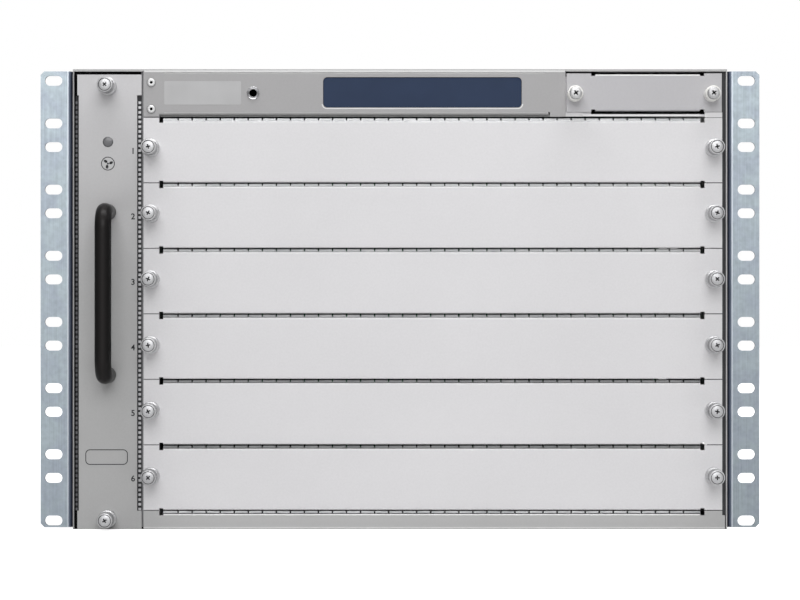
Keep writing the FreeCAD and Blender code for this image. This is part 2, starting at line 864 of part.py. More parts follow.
def make_top_cover():
    """Lid with side flanges and a tab that takes the upper screw of the fan tray."""
    body = new_body("top_cover")
    lid = new_sketch(body, "XY", CEILING)
    draw_rectangle(lid, (-OUTER, OUTER), (FRONT, REAR))
    pad(body, lid, "XY", size.wall_sheet)
    flange_low = CEILING - size.lid_flange
    sides = new_sketch(body, "XZ", FRONT + size.lid_setback)
    draw_rectangle(sides, (-INNER, -INNER + size.wall_sheet), (flange_low, CEILING))
    draw_rectangle(sides, (INNER - size.wall_sheet, INNER), (flange_low, CEILING))
    pad(body, sides, "XZ", size.chassis_depth - size.lid_setback * 2)
    tab_left = -INNER + size.left_flange
    tab = new_sketch(body, "XZ", SEAT)
    draw_rectangle(tab, (tab_left, WALL_LEFT), (size.notch_top, CEILING))
    pad(body, tab, "XZ", size.wall_sheet)
    drill(body, "XZ", SEAT, size.wall_sheet, [(TRAY_X, size.tray_screw_high, SCREW_HOLE)])
    return body


def make_rear_panel():
    """Rear wall, open below for the power supplies and slotted above them."""
    body = new_body("rear_panel")
    low = size.wall_sheet
    top = low + size.supply_height + size.supply_gap
    reach = size.supply_width / 2 + size.supply_gap
    left_in, left_out = -size.supply_offset + reach, -size.supply_offset - reach
    right_in, right_out = size.supply_offset - reach, size.supply_offset + reach
    prism(body, "XZ", REAR - size.wall_sheet, size.wall_sheet, [
        (-INNER, low), (left_out, low), (left_out, top), (left_in, top), (left_in, low),
        (right_in, low), (right_in, top), (right_out, top), (right_out, low), (INNER, low),
        (INNER, CEILING), (-INNER, CEILING),
    ])
    vent = new_sketch(body, "XZ", REAR - size.wall_sheet)
    first = -size.rear_vent_pitch * ((REAR_VENT_COLUMNS - 1) / 2) - size.rear_vent_length / 2
    base = top + size.rear_vent_rise
    draw_rectangle(vent, (first, first + size.rear_vent_length), (base, base + size.vent_width))
    slot = pocket(body, vent, "XZ", size.wall_sheet)
    pattern(
        body, slot, vent,
        ("H_Axis", size.rear_vent_pitch, REAR_VENT_COLUMNS),
        ("V_Axis", size.vent_pitch_up, REAR_VENT_ROWS),
    )
    return body


def make_front_bezel():
    body = folded_panel(
        "front_bezel",
        (CAGE_LEFT + size.edge_gap, size.bezel_right),
        (size.left_tab, size.left_tab),
        (size.bezel_bottom, size.bezel_top),
        (size.bezel_tab_bottom, size.bezel_top),
    )
    recess = new_sketch(body, "XZ", FRONT)
    recess_corners = [
        (-size.badge_left, size.badge_bottom), (size.badge_right, size.badge_bottom),
        (size.badge_right, size.badge_top), (-size.badge_left, size.badge_top),
    ]
    draw_polygon(recess, recess_corners)
    pocket(body, recess, "XZ", size.badge_recess)
    bend(body, "XZ", recess_corners, size.badge_corner)
    drill(body, "XZ", FRONT, size.face_sheet, [
        (-size.rivet_offset, size.rivet_low, size.rivet_shank),
        (-size.rivet_offset, size.rivet_high, size.rivet_shank),
        (-size.socket_offset, size.socket_height, size.socket_barrel),
    ])
    return body


def make_badge():
    body = new_body("badge_plate")
    gap = size.badge_gap
    corners = [
        (-size.badge_left + gap, size.badge_bottom + gap),
        (size.badge_right - gap, size.badge_bottom + gap),
        (size.badge_right - gap, size.badge_top - gap),
        (-size.badge_left + gap, size.badge_top - gap),
    ]
    front = FRONT + size.badge_recess - size.badge_thickness
    prism(body, "XZ", front, size.badge_thickness, corners)
    bend(body, "XZ", corners, size.badge_corner - gap)
    return body


def make_rivets():
    rivets = []
    for name, height in (("low", size.rivet_low), ("high", size.rivet_high)):
        rivet = turned(f"rivet_{name}", [
            (size.rivet_bore, -size.rivet_head),
            (size.rivet_radius - size.rivet_head, -size.rivet_head),
            (size.rivet_radius, -size.inner_bend),
            (size.rivet_radius, 0),
            (size.rivet_shank, 0),
            (size.rivet_shank, size.face_sheet),
            (size.rivet_bore, size.face_sheet),
        ])
        rivets.append(place(rivet, -size.rivet_offset, FRONT, height))
    return group("bezel_rivets", rivets)


def make_strap_socket():
    """Four-millimetre socket for a wrist strap, with a thin lip on the bezel."""
    body = turned("wrist_strap_socket", [
        (size.socket_bore, -size.socket_lip),
        (size.socket_radius - size.inner_bend, -size.socket_lip),
        (size.socket_radius, -size.inner_bend),
        (size.socket_radius, 0),
        (size.socket_barrel, 0),
        (size.socket_barrel, size.socket_length),
        (size.socket_bore, size.socket_length),
    ])
    return place(body, -size.socket_offset, FRONT, size.socket_height)


def make_fan_bay_wall():
    """Windowed wall between the fans and the cards, with the flange behind the left tabs."""
    body = new_body("fan_bay_wall")
    flange = CAGE_LEFT + size.left_post_flange
    prism(body, "XY", size.wall_sheet, CEILING - size.wall_sheet, [
        (WALL_LEFT, SEAT), (flange, SEAT), (flange, SEAT_BACK), (CAGE_LEFT, SEAT_BACK),
        (CAGE_LEFT, BACKPLANE), (WALL_LEFT, BACKPLANE),
    ])
    bend(body, "XY", [(WALL_LEFT, SEAT)], size.bend_radius)
    window = new_sketch(body, "YZ", WALL_LEFT)
    front = FRONT + size.window_front
    base = size.slot_base + (size.slot_pitch - size.window_height) / 2 + size.guide_height
    draw_rectangle(window, (front, front + size.window_length), (base, base + size.window_height))
    opening = pocket(body, window, "YZ", size.wall_sheet)
    pattern(body, opening, window, ("V_Axis", size.slot_pitch, SLOT_COUNT))
    holes = [(-size.screw_left, slot_screw_height(index), SCREW_HOLE) for index in range(SLOT_COUNT)]
    drill(body, "XZ", SEAT, size.wall_sheet, holes)
    return body


def make_card_guides():
    rails = []
    for index in range(SLOT_COUNT):
        base = slot_bottom(index) + size.guide_rise
        top = base + size.guide_height
        groove_low = base + (size.guide_height - size.guide_groove) / 2
        groove_high = groove_low + size.guide_groove
        for name, wall, side in (("left", CAGE_LEFT, 1), ("right", INNER, -1)):
            tip = wall + size.guide_depth * side
            floor = tip - size.guide_groove_depth * side
            rail = new_body(f"{name}_guide_{index + 1}")
            prism(rail, "XZ", FRONT + size.guide_front, size.guide_length, [
                (wall, base), (tip, base), (tip, groove_low), (floor, groove_low),
                (floor, groove_high), (tip, groove_high), (tip, top), (wall, top),
            ])
            rails.append(rail)
    return group("card_guides", rails)


def make_cage_deck():
    """Shelf above the slots, with a front tongue, an upturned tab beside the bezel and an end tab.

    The end tab fills the front between the sensor panel and the top slot cover.
    """
    right = INNER - size.side_gap
    end_left = right - size.right_tab
    tongue_right = end_left - size.relief_width
    end_top = size.sensor_bottom - size.sensor_tab_rise - size.edge_gap
    body = new_body("cage_deck")
    prism(body, "XY", DECK_BOTTOM, size.wall_sheet, [
        (CAGE_LEFT, SEAT_BACK), (size.deck_tongue_left, SEAT_BACK),
        (size.deck_tongue_left, FRONT), (tongue_right, FRONT),
        (tongue_right, SEAT_BACK), (INNER, SEAT_BACK), (INNER, BACKPLANE), (CAGE_LEFT, BACKPLANE),
    ])
    prism(body, "XZ", SEAT, size.wall_sheet, [
        (size.deck_tab_left, DECK_TOP), (size.deck_tab_right, DECK_TOP),
        (size.deck_tab_right, size.deck_tab_top), (size.deck_tab_left, size.deck_tab_top),
    ])
    foot = new_sketch(body, "XY", DECK_BOTTOM)
    draw_rectangle(foot, (size.deck_tab_left, size.deck_tongue_left), (SEAT, SEAT_BACK))
    draw_rectangle(foot, (tongue_right, INNER - size.right_flange - size.edge_gap), (SEAT, SEAT_BACK))
    pad(body, foot, "XY", size.wall_sheet)
    prism(body, "XZ", FRONT, size.face_sheet, [
        (end_left, CAGE_TOP), (right, CAGE_TOP), (right, end_top), (end_left, end_top),
    ])
    hole = (size.sensor_screw_left, size.sensor_screw_height, SCREW_HOLE)
    drill(body, "XZ", SEAT, size.wall_sheet, [hole])
    return body


def make_backplane():
    edge = size.backplane_edge
    return box(
        "backplane",
        (-INNER, INNER),
        (BACKPLANE, BACKPLANE_BACK),
        (size.wall_sheet, CEILING - size.lid_flange - edge),
    )


def make_backplane_plugs():
    """Card connectors in front of the backplane, fan and supply connectors beside them."""
    blocks = []
    span = INNER - size.guide_depth - CAGE_LEFT - size.guide_depth
    step = span / PLUGS_PER_SLOT
    for index in range(SLOT_COUNT):
        base = slot_bottom(index) + size.guide_rise
        for place_index in range(PLUGS_PER_SLOT):
            centre = CAGE_LEFT + size.guide_depth + step * (place_index + 0.5)
            blocks.append(box(
                f"card_plug_{index + 1}_{place_index + 1}",
                (centre - size.plug_width / 2, centre + size.plug_width / 2),
                (BACKPLANE - size.plug_depth, BACKPLANE),
                (base, base + size.plug_height),
            ))
    tray_plug_back = SEAT + size.tray_frame_length + size.tray_plug_depth
    blocks.append(box(
        "fan_socket",
        (TRAY_X - size.tray_plug_width / 2, TRAY_X + size.tray_plug_width / 2),
        (tray_plug_back + size.edge_gap, BACKPLANE),
        (size.tray_plug_rise, size.tray_plug_rise + size.tray_plug_height),
    ))
    for name, side in (("left", -1), ("right", 1)):
        centre = size.supply_offset * side
        blocks.append(box(
            f"supply_socket_{name}",
            (centre - size.plug_width / 2, centre + size.plug_width / 2),
            (BACKPLANE_BACK, BACKPLANE_BACK + size.supply_plug_gap - size.edge_gap),
            (size.supply_height / 2, size.supply_height / 2 + size.plug_height),
        ))
    return group("backplane_connectors", blocks)


def make_tray_panel():
    body = new_body("fan_tray_panel")
    left, right = -size.tray_left, -size.tray_right
    left_in, right_in = left + size.left_notch, right - size.right_notch
    low, high = size.tray_bottom, size.tray_top
    notch_low, notch_high = size.notch_bottom, size.notch_top
    prism(body, "XZ", FRONT, size.face_sheet, [
        (left, low), (right, low), (right, notch_low), (right_in, notch_low), (right_in, notch_high),
        (right, notch_high), (right, high), (left, high), (left, notch_high), (left_in, notch_high),
        (left_in, notch_low), (left, notch_low),
    ])
    drill(body, "XZ", FRONT, size.face_sheet, [
        (TRAY_X, size.lens_height, size.lens_radius),
        (TRAY_X, size.tray_screw_low, SCREW_HOLE),
        (TRAY_X, size.tray_screw_high, SCREW_HOLE),
    ])
    return body


def fan_centres():
    """Row and column centres of the fans, as (y, z)."""
    middle = (size.tray_frame_bottom + size.tray_frame_top) / 2
    centres = []
    for row in range(FAN_ROWS):
        for column in range(FAN_COLUMNS):
            y = FRONT + size.fan_margin + size.fan_pitch * (column + 0.5)
            z = middle + size.fan_row_pitch * ((FAN_ROWS - 1) / 2 - row)
            centres.append((y, z))
    return centres


def make_tray_frame():
    """Channel behind the fan tray panel, with a round opening for each fan."""
    body = new_body("fan_tray_frame")
    left, right = -size.tray_frame_left, -size.tray_frame_right
    low, high = size.tray_frame_bottom, size.tray_frame_top
    web = left + size.wall_sheet
    prism(body, "XZ", SEAT, size.tray_frame_length, [
        (left, low), (right, low), (right, low + size.wall_sheet), (web, low + size.wall_sheet),
        (web, high - size.wall_sheet), (right, high - size.wall_sheet), (right, high), (left, high),
    ])
    bend(body, "XZ", [(left, low), (left, high)], size.bend_radius)
    drill(body, "YZ", left, size.wall_sheet, [(y, z, size.fan_bore) for y, z in fan_centres()])
    back = SEAT + size.tray_frame_length
    prism(body, "XZ", back - size.wall_sheet, size.wall_sheet, [
        (web, low + size.wall_sheet), (right, low + size.wall_sheet),
        (right, high - size.wall_sheet), (web, high - size.wall_sheet),
    ])
    return body


def make_fan_housings():
    housings = []
    half = size.fan_size / 2
    hub = size.fan_hub
    strut = size.fan_strut / 2
    base = -size.tray_frame_left + size.wall_sheet
    for index, (y, z) in enumerate(fan_centres(), start=1):
        body = new_body(f"fan_housing_{index}")
        corners = [(-half, -half), (half, -half), (half, half), (-half, half)]
        ring = new_sketch(body, "YZ")
        draw_polygon(ring, corners)
        draw_circle(ring, 0, 0, size.fan_bore)
        pad(body, ring, "YZ", size.fan_depth)
        bend(body, "YZ", corners, size.fan_corner)
        reach = size.fan_bore + size.fan_spider
        for across, along in ((strut, reach), (reach, strut)):
            bar = new_sketch(body, "YZ")
            draw_rectangle(bar, (-across, across), (-along, along))
            pad(body, bar, "YZ", size.fan_spider)
        motor = new_sketch(body, "YZ")
        draw_circle(motor, 0, 0, hub)
        pad(body, motor, "YZ", size.fan_spider)
        housings.append(place(body, base, y, z))
    return group("fan_housings", housings)


def make_impeller(index, y, z):
    """Hub with twisted blades, lofted from root to tip and repeated about X."""
    body = new_body(f"impeller_{index}")
    hub = new_sketch(body, "YZ")
    draw_circle(hub, 0, 0, size.impeller_hub)
    pad(body, hub, "YZ", size.impeller_length)
    middle = size.impeller_length / 2
    sections = []
    levels = (
        (size.impeller_hub - size.blade_sink, size.blade_root_chord, size.blade_root_sweep),
        (size.impeller_tip, size.blade_tip_chord, size.blade_tip_sweep),
    )
    for level, chord, sweep in levels:
        section = new_sketch(body, "XY", level)
        half, lean, thick = chord / 2, sweep / 2, size.blade_thickness / 2
        draw_polygon(section, [
            (middle - half, -lean - thick), (middle + half, lean - thick),
            (middle + half, lean + thick), (middle - half, -lean + thick),
        ])
        sections.append(section)
    doc.recompute()
    blade = body.newObject("PartDesign::AdditiveLoft", "Blade")
    blade.Profile = sections[0]
    blade.Sections = [sections[1]]
    blade.Ruled = True
    doc.recompute()
    blades = body.newObject("PartDesign::PolarPattern", "Blades")
    blades.Originals = [blade]
    spin_axis = next(item for item in body.Origin.OriginFeatures if item.Role == "X_Axis")
    blades.Axis = (spin_axis, [""])
    blades.Mode = "Extent"
    blades.Angle = 360
    blades.Occurrences = BLADE_COUNT
    body.Tip = blades
    doc.recompute()
    base = -size.tray_frame_left + size.wall_sheet + size.fan_spider + size.impeller_gap
    return place(body, base, y, z)


def make_tray_plug():
    back = SEAT + size.tray_frame_length
    half = size.tray_plug_width / 2
    return box(
        "fan_tray_connector",
        (TRAY_X - half, TRAY_X + half),
        (back, back + size.tray_plug_depth),
        (size.tray_plug_rise, size.tray_plug_rise + size.tray_plug_height),
    )


def make_lens():
    """Domed light pipe of the status lamp."""
    profile = dome(size.lens_radius, -size.lens_dome)
    profile += [(size.lens_radius, size.lens_length), (0, size.lens_length)]
    body = turned("fan_status_lens", profile)
    return place(body, TRAY_X, FRONT, size.lens_height)


def make_sensor_panel():
    right = INNER - size.side_gap - size.edge_gap
    body = folded_panel(
        "sensor_panel",
        (size.sensor_left, right),
        (size.sensor_left_tab, size.right_tab),
        (size.sensor_bottom, size.sensor_top),
        (size.sensor_bottom - size.sensor_tab_rise, size.sensor_top + size.sensor_tab_rise),
    )
    drill(body, "XZ", FRONT, size.face_sheet, [
        (size.sensor_screw_left, size.sensor_screw_height, SCREW_HOLE),
        (size.sensor_screw_right, size.sensor_screw_height, SCREW_HOLE),
    ])
    return body


def make_sensor_board():
    """Circuit board of the sensor module with the plug at its rear edge."""
    inset = size.left_tab + size.board_margin
    left = size.sensor_left + size.sensor_left_tab + size.board_margin
    right = INNER - size.side_gap - size.right_tab - size.board_margin
    base = size.sensor_bottom + size.board_rise
    top = base + size.board_thickness
    back = SEAT + size.board_length
    body = new_body("sensor_board")
    prism(body, "XY", base, size.board_thickness, [
        (left, SEAT), (right, SEAT), (right, back), (left, back),
    ])
    prism(body, "XY", top, size.sensor_plug, [
        (left + inset, back - size.sensor_plug * 2), (right - inset, back - size.sensor_plug * 2),
        (right - inset, back), (left + inset, back),
    ])
    return body


def make_sensor_fasteners():
    sleeves, screws = [], []
    for name, x in (("left", size.sensor_screw_left), ("right", size.sensor_screw_right)):
        bore = SCREW_HOLE
        sleeve = turned(f"sleeve_{name}", [
            (bore, -size.sleeve_height),
            (size.sleeve_radius - size.head_chamfer, -size.sleeve_height),
            (size.sleeve_radius, -size.sleeve_height + size.head_chamfer),
            (size.sleeve_radius, 0),
            (bore, 0),
        ])
        sleeves.append(place(sleeve, x, FRONT, size.sensor_screw_height))
        seat = -size.sleeve_height
        top = seat - size.pan_height
        rim = top + size.pan_dome
        profile = [(radius, rim + rise) for radius, rise in dome(size.pan_radius, -size.pan_dome)]
        screw = turned(f"pan_screw_{name}", profile + [
            (size.pan_radius, seat),
            (size.shank_radius, seat),
            (size.shank_radius, size.shank_reach),
            (0, size.shank_reach),
        ])
        cross_recess(screw, top)
        screws.append(place(screw, x, FRONT, size.sensor_screw_height))
    return group("sensor_sleeves", sleeves), group("sensor_screws", screws)


def make_rack_ear(label, side):
    """Folded rack ear with paired obround slots at the rack spacing."""
    body = new_body(label)
    tip = size.ear_span / 2 * side
    inner = OUTER * side
    leg = (OUTER + size.ear_sheet) * side
    front = FRONT + size.ear_setback
    back = front + size.ear_leg
    prism(body, "XY", size.ear_bottom, size.ear_height, [
        (inner, front), (tip, front), (tip, front + size.ear_sheet), (leg, front + size.ear_sheet),
        (leg, back), (inner, back),
    ])
    bend(body, "XY", [(inner, front)], size.ear_bend)
    bend(body, "XY", [(leg, front + size.ear_sheet)], size.ear_bend - size.ear_sheet)
    low, high = size.ear_bottom, size.ear_bottom + size.ear_height
    base = body.Tip
    corners = [(number(tip), number(low)), (number(tip), number(high))]
    names = []
    for index, edge in enumerate(base.Shape.Edges, start=1):
        ends = [vertex.Point for vertex in edge.Vertexes]
        for x, z in corners:
            if len(ends) == 2 and all(abs(end.x - x) + abs(end.z - z) < 1e-4 for end in ends):
                names.append(f"Edge{index}")
    clip = body.newObject("PartDesign::Chamfer", "Clip")
    clip.Base = (base, names)
    bind(clip, "Size", size.ear_chamfer)
    doc.recompute()
    pair = new_sketch(body, "XZ", front)
    centre = size.rack_span / 2 * side
    for height in (size.rack_first, size.rack_first + size.rack_pair):
        draw_slot(pair, centre, height, size.rack_slot_length, size.rack_slot_width)
    slots = pocket(body, pair, "XZ", size.ear_sheet)
    pattern(body, slots, pair, ("V_Axis", size.rack_unit, RACK_UNITS))
    holes = []
    for index in range(EAR_SCREW_COUNT):
        height = size.ear_screw_first + size.ear_screw_pitch * index
        holes.append((front + size.ear_screw_leg, height, size.ear_screw_shank))
    drill(body, "YZ", min(inner, leg, key=number), size.ear_sheet, holes)
    return body


def make_ear_screws():
    screws = []
    for name, side in (("left", -1), ("right", 1)):
        face = (OUTER + size.ear_sheet) * side
        for index in range(EAR_SCREW_COUNT):
            head = size.ear_screw_head * side
            profile = [(rise, radius) for radius, rise in dome(size.ear_screw_radius, head)]
            screw = turned(f"ear_screw_{name}_{index + 1}", profile + [
                (0, size.ear_screw_shank),
                (-size.ear_sheet * side, size.ear_screw_shank),
                (-size.ear_sheet * side, 0),
            ], "H_Axis")
            y = FRONT + size.ear_setback + size.ear_screw_leg
            z = size.ear_screw_first + size.ear_screw_pitch * index
            screws.append(place(screw, face, y, z))
    return group("rack_ear_screws", screws)


def make_supply(name, side):
    """Plug-in power supply: cased block, pull handle and mains inlet."""
    centre = size.supply_offset * side
    half = size.supply_width / 2
    low = size.wall_sheet
    high = low + size.supply_height
    front = BACKPLANE_BACK + size.supply_plug_gap
    rear = REAR + size.supply_plate
    case = new_body(f"{name}_supply_case")
    prism(case, "XZ", front, REAR - front, [
        (centre - half, low), (centre + half, low), (centre + half, high), (centre - half, high),
    ])
    plate_half = half + size.supply_overlap - size.supply_gap
    plate_low = low + size.edge_gap
    plate_high = high + size.supply_overlap
    corners = [
        (centre - plate_half, plate_low), (centre + plate_half, plate_low),
        (centre + plate_half, plate_high), (centre - plate_half, plate_high),
    ]
    prism(case, "XZ", REAR, size.supply_plate, corners)
    bend(case, "XZ", corners, size.supply_plate)
    vent = new_sketch(case, "XZ", rear - size.supply_vent_depth)
    first = centre - half + size.supply_vent_pitch * 1.5
    base = low + size.inlet_rise - size.inlet_height
    draw_rectangle(vent, (first, first + size.supply_vent_width), (base, base + size.supply_vent_height))
    slot = pocket(case, vent, "XZ", size.supply_vent_depth)
    pattern(case, slot, vent, ("H_Axis", size.supply_vent_pitch, size.supply_vent_count))
    inlet_x = centre + size.inlet_side
    wide, tall = size.inlet_width / 2, size.inlet_height / 2
    bay = new_sketch(case, "XZ", rear - size.inlet_depth)
    draw_rectangle(
        bay,
        (inlet_x - wide, inlet_x + wide),
        (size.inlet_rise - tall, size.inlet_rise + tall),
    )
    pocket(case, bay, "XZ", size.inlet_depth)
    inlet = make_inlet(f"{name}_supply_inlet", inlet_x, rear)
    span = size.supply_handle_span / 2
    handle = bow_handle(
        f"{name}_supply_handle",
        low + size.supply_handle_rise,
        centre - span,
        centre + span,
        rear,
        size.supply_handle_reach,
        size.supply_handle_bend,
        size.supply_handle_radius,
        False,
    )
    return [case, inlet, handle]


def make_inlet(label, centre, face):
    """Mains inlet: a shrouded well with three flat blades."""
    body = new_body(label)
    wide, tall = size.inlet_width / 2, size.inlet_height / 2
    back = face - size.inlet_depth
    mid = size.inlet_rise
    prism(body, "XZ", back, size.inlet_depth + size.inlet_lip, [
        (centre - wide, mid - tall), (centre + wide, mid - tall),
        (centre + wide, mid + tall), (centre - wide, mid + tall),
    ])
    inner_wide, inner_tall = wide - size.inlet_wall, tall - size.inlet_wall
    well = new_sketch(body, "XZ", back + size.inlet_wall)
    draw_rectangle(
        well,
        (centre - inner_wide, centre + inner_wide),
        (mid - inner_tall, mid + inner_tall),
    )
    pocket(body, well, "XZ", size.inlet_depth + size.inlet_lip - size.inlet_wall)
    pins = new_sketch(body, "XZ", back + size.inlet_wall)
    half, rise = size.pin_step / 2, size.pin_height / 2
    places = [
        (centre - size.pin_spread, mid - half),
        (centre, mid + half),
        (centre + size.pin_spread, mid - half),
    ]
    for u, v in places:
        draw_rectangle(pins, (u - size.pin_width / 2, u + size.pin_width / 2), (v - rise, v + rise))
    pad(body, pins, "XZ", size.inlet_depth - size.inlet_wall * 2)
    return body


def make_slot(index):
    """One blank cover with its finger gasket and its two captive screws."""
    base = slot_bottom(index)
    left = CAGE_LEFT + size.edge_gap
    right = INNER - size.side_gap
    gap = size.cover_gap / 2
    tab_low, tab_high = base + gap, base + size.slot_pitch - gap
    high = tab_high - size.gasket_sink
    cover = folded_panel(
        f"slot_cover_{index + 1}",
        (left, right),
        (size.left_tab, size.right_tab),
        (tab_low, high),
        (tab_low, tab_high),
    )
    height = slot_screw_height(index)
    drill(cover, "XZ", FRONT, size.face_sheet, [
        (-size.screw_left, height, SCREW_HOLE),
        (size.screw_right, height, SCREW_HOLE),
    ])
    start = left + size.left_tab + size.relief_width
    end = right - size.right_tab - size.relief_width
    gasket = finger_strip(f"slot_gasket_{index + 1}", (start, end), high)
    screws = group(f"slot_screws_{index + 1}", [
        captive_screw(f"left_screw_{index + 1}", -size.screw_left, height),
        captive_screw(f"right_screw_{index + 1}", size.screw_right, height),
    ])
    return [cover, gasket, screws]


def make_fan_tray():
    pieces = [make_tray_panel(), make_tray_frame(), make_lens(), make_fan_housings(), make_tray_plug()]
    pieces.append(bow_handle(
        "fan_handle",
        TRAY_X,
        size.handle_low,
        size.handle_high,
        FRONT,
        -size.handle_reach,
        size.handle_bend,
        size.handle_radius,
        True,
    ))
    left_edge = -size.tray_left + size.left_notch
    right_edge = -size.tray_right - size.right_notch
    pieces.append(group("fan_tray_gaskets", [
        edge_comb("left_comb", left_edge, -INNER + size.tray_gasket_gap),
        edge_comb("right_comb", right_edge, -size.tray_right - size.edge_gap),
    ]))
    pieces.append(group("fan_tray_screws", [
        captive_screw("tray_screw_low", TRAY_X, size.tray_screw_low),
        captive_screw("tray_screw_high", TRAY_X, size.tray_screw_high),
    ]))
    for index, (y, z) in enumerate(fan_centres(), start=1):
        pieces.append(make_impeller(index, y, z))
    return pieces


def make_chassis():
    pieces = [
        make_base_pan(),
        make_sill_gasket(),
        make_side_panel("left_side_panel", -1, size.left_flange),
        make_right_side(),
        make_top_cover(),
        make_rear_panel(),
        make_front_bezel(),
        make_badge(),
        make_rivets(),
        make_strap_socket(),
        make_fan_bay_wall(),
        make_card_guides(),
        make_cage_deck(),
        make_backplane(),
        make_backplane_plugs(),
        make_rack_ear("left_rack_ear", -1),
        make_rack_ear("right_rack_ear", 1),
        make_ear_screws(),
    ]
    return pieces


def check(pieces):
    """Stop before anything is written if the document or a piece is not sound."""
    for item in doc.Objects:
        if "Invalid" in item.State or "Error" in item.State:
            raise RuntimeError(f"{item.Label} did not build: {item.State}")
    for piece in pieces:
        if piece.Shape.isNull() or not piece.Shape.isValid():
            raise RuntimeError(f"{piece.Label} has no valid shape")


def main():
    pieces = make_chassis() + make_fan_tray()
    for index in range(SLOT_COUNT):
        pieces += make_slot(index)
    pieces += [make_sensor_panel(), make_sensor_board(), *make_sensor_fasteners()]
    for name, side in (("left", -1), ("right", 1)):
        pieces += make_supply(name, side)
    doc.recompute()
    check(pieces)
    os.makedirs("parts", exist_ok=True)
    for piece in pieces:
        piece.Shape.exportStep(f"parts/{piece.Label}.step")
    print(f"{len(pieces)} pieces written")


main()
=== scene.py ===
import math

import bmesh
import bpy
from bpy.props import FloatProperty, FloatVectorProperty, IntProperty, PointerProperty
from mathutils import Matrix, Vector


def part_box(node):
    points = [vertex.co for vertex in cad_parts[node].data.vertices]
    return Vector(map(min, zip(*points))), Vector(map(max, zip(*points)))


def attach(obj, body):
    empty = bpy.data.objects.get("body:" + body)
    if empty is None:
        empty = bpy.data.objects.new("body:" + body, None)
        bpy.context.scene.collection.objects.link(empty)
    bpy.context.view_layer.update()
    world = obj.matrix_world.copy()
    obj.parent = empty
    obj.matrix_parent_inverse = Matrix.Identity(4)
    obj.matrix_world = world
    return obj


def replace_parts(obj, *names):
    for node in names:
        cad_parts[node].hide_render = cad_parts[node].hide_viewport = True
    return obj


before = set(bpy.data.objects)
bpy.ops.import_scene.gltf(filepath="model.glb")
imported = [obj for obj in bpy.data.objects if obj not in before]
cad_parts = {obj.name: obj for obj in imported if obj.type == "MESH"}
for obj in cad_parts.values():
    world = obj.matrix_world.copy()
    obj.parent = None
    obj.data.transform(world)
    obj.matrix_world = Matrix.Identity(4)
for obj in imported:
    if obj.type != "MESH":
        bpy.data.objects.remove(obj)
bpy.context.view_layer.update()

bl_info = {
    "name": "Router chassis dressing",
    "version": (1, 0, 0),
    "blender": (4, 5, 0),
    "location": "View3D > Sidebar > Router",
    "description": "Finishes, captive screws and printed marks of a rack router chassis",
    "category": "Object",
}

MM = 0.001
SLOTS = range(1, 7)
FACE_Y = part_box("slot_cover_1")[0].y
CHASSIS_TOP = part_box("top_cover")[1].z
BEZEL_LOW, BEZEL_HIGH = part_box("front_bezel")
TRAY_LOW, TRAY_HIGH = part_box("fan_tray_panel")


def linear(code):
    """Turns an sRGB hex value into the linear numbers that sockets take."""
    parts = [int(code[place:place + 2], 16) / 255 for place in (0, 2, 4)]
    return tuple(c / 12.92 if c <= 0.04045 else ((c + 0.055) / 1.055) ** 2.4 for c in parts)


def length(name, description, millimetres):
    """A property for a length, with its default in millimetres."""
    return FloatProperty(
        name=name, description=description, default=millimetres * MM, unit="LENGTH", precision=5
    )


def colour(name, description, code):
    """A property for a colour, with its default as sRGB hex."""
    return FloatVectorProperty(
        name=name, description=description, default=linear(code), size=3, subtype="COLOR", min=0, max=1
    )


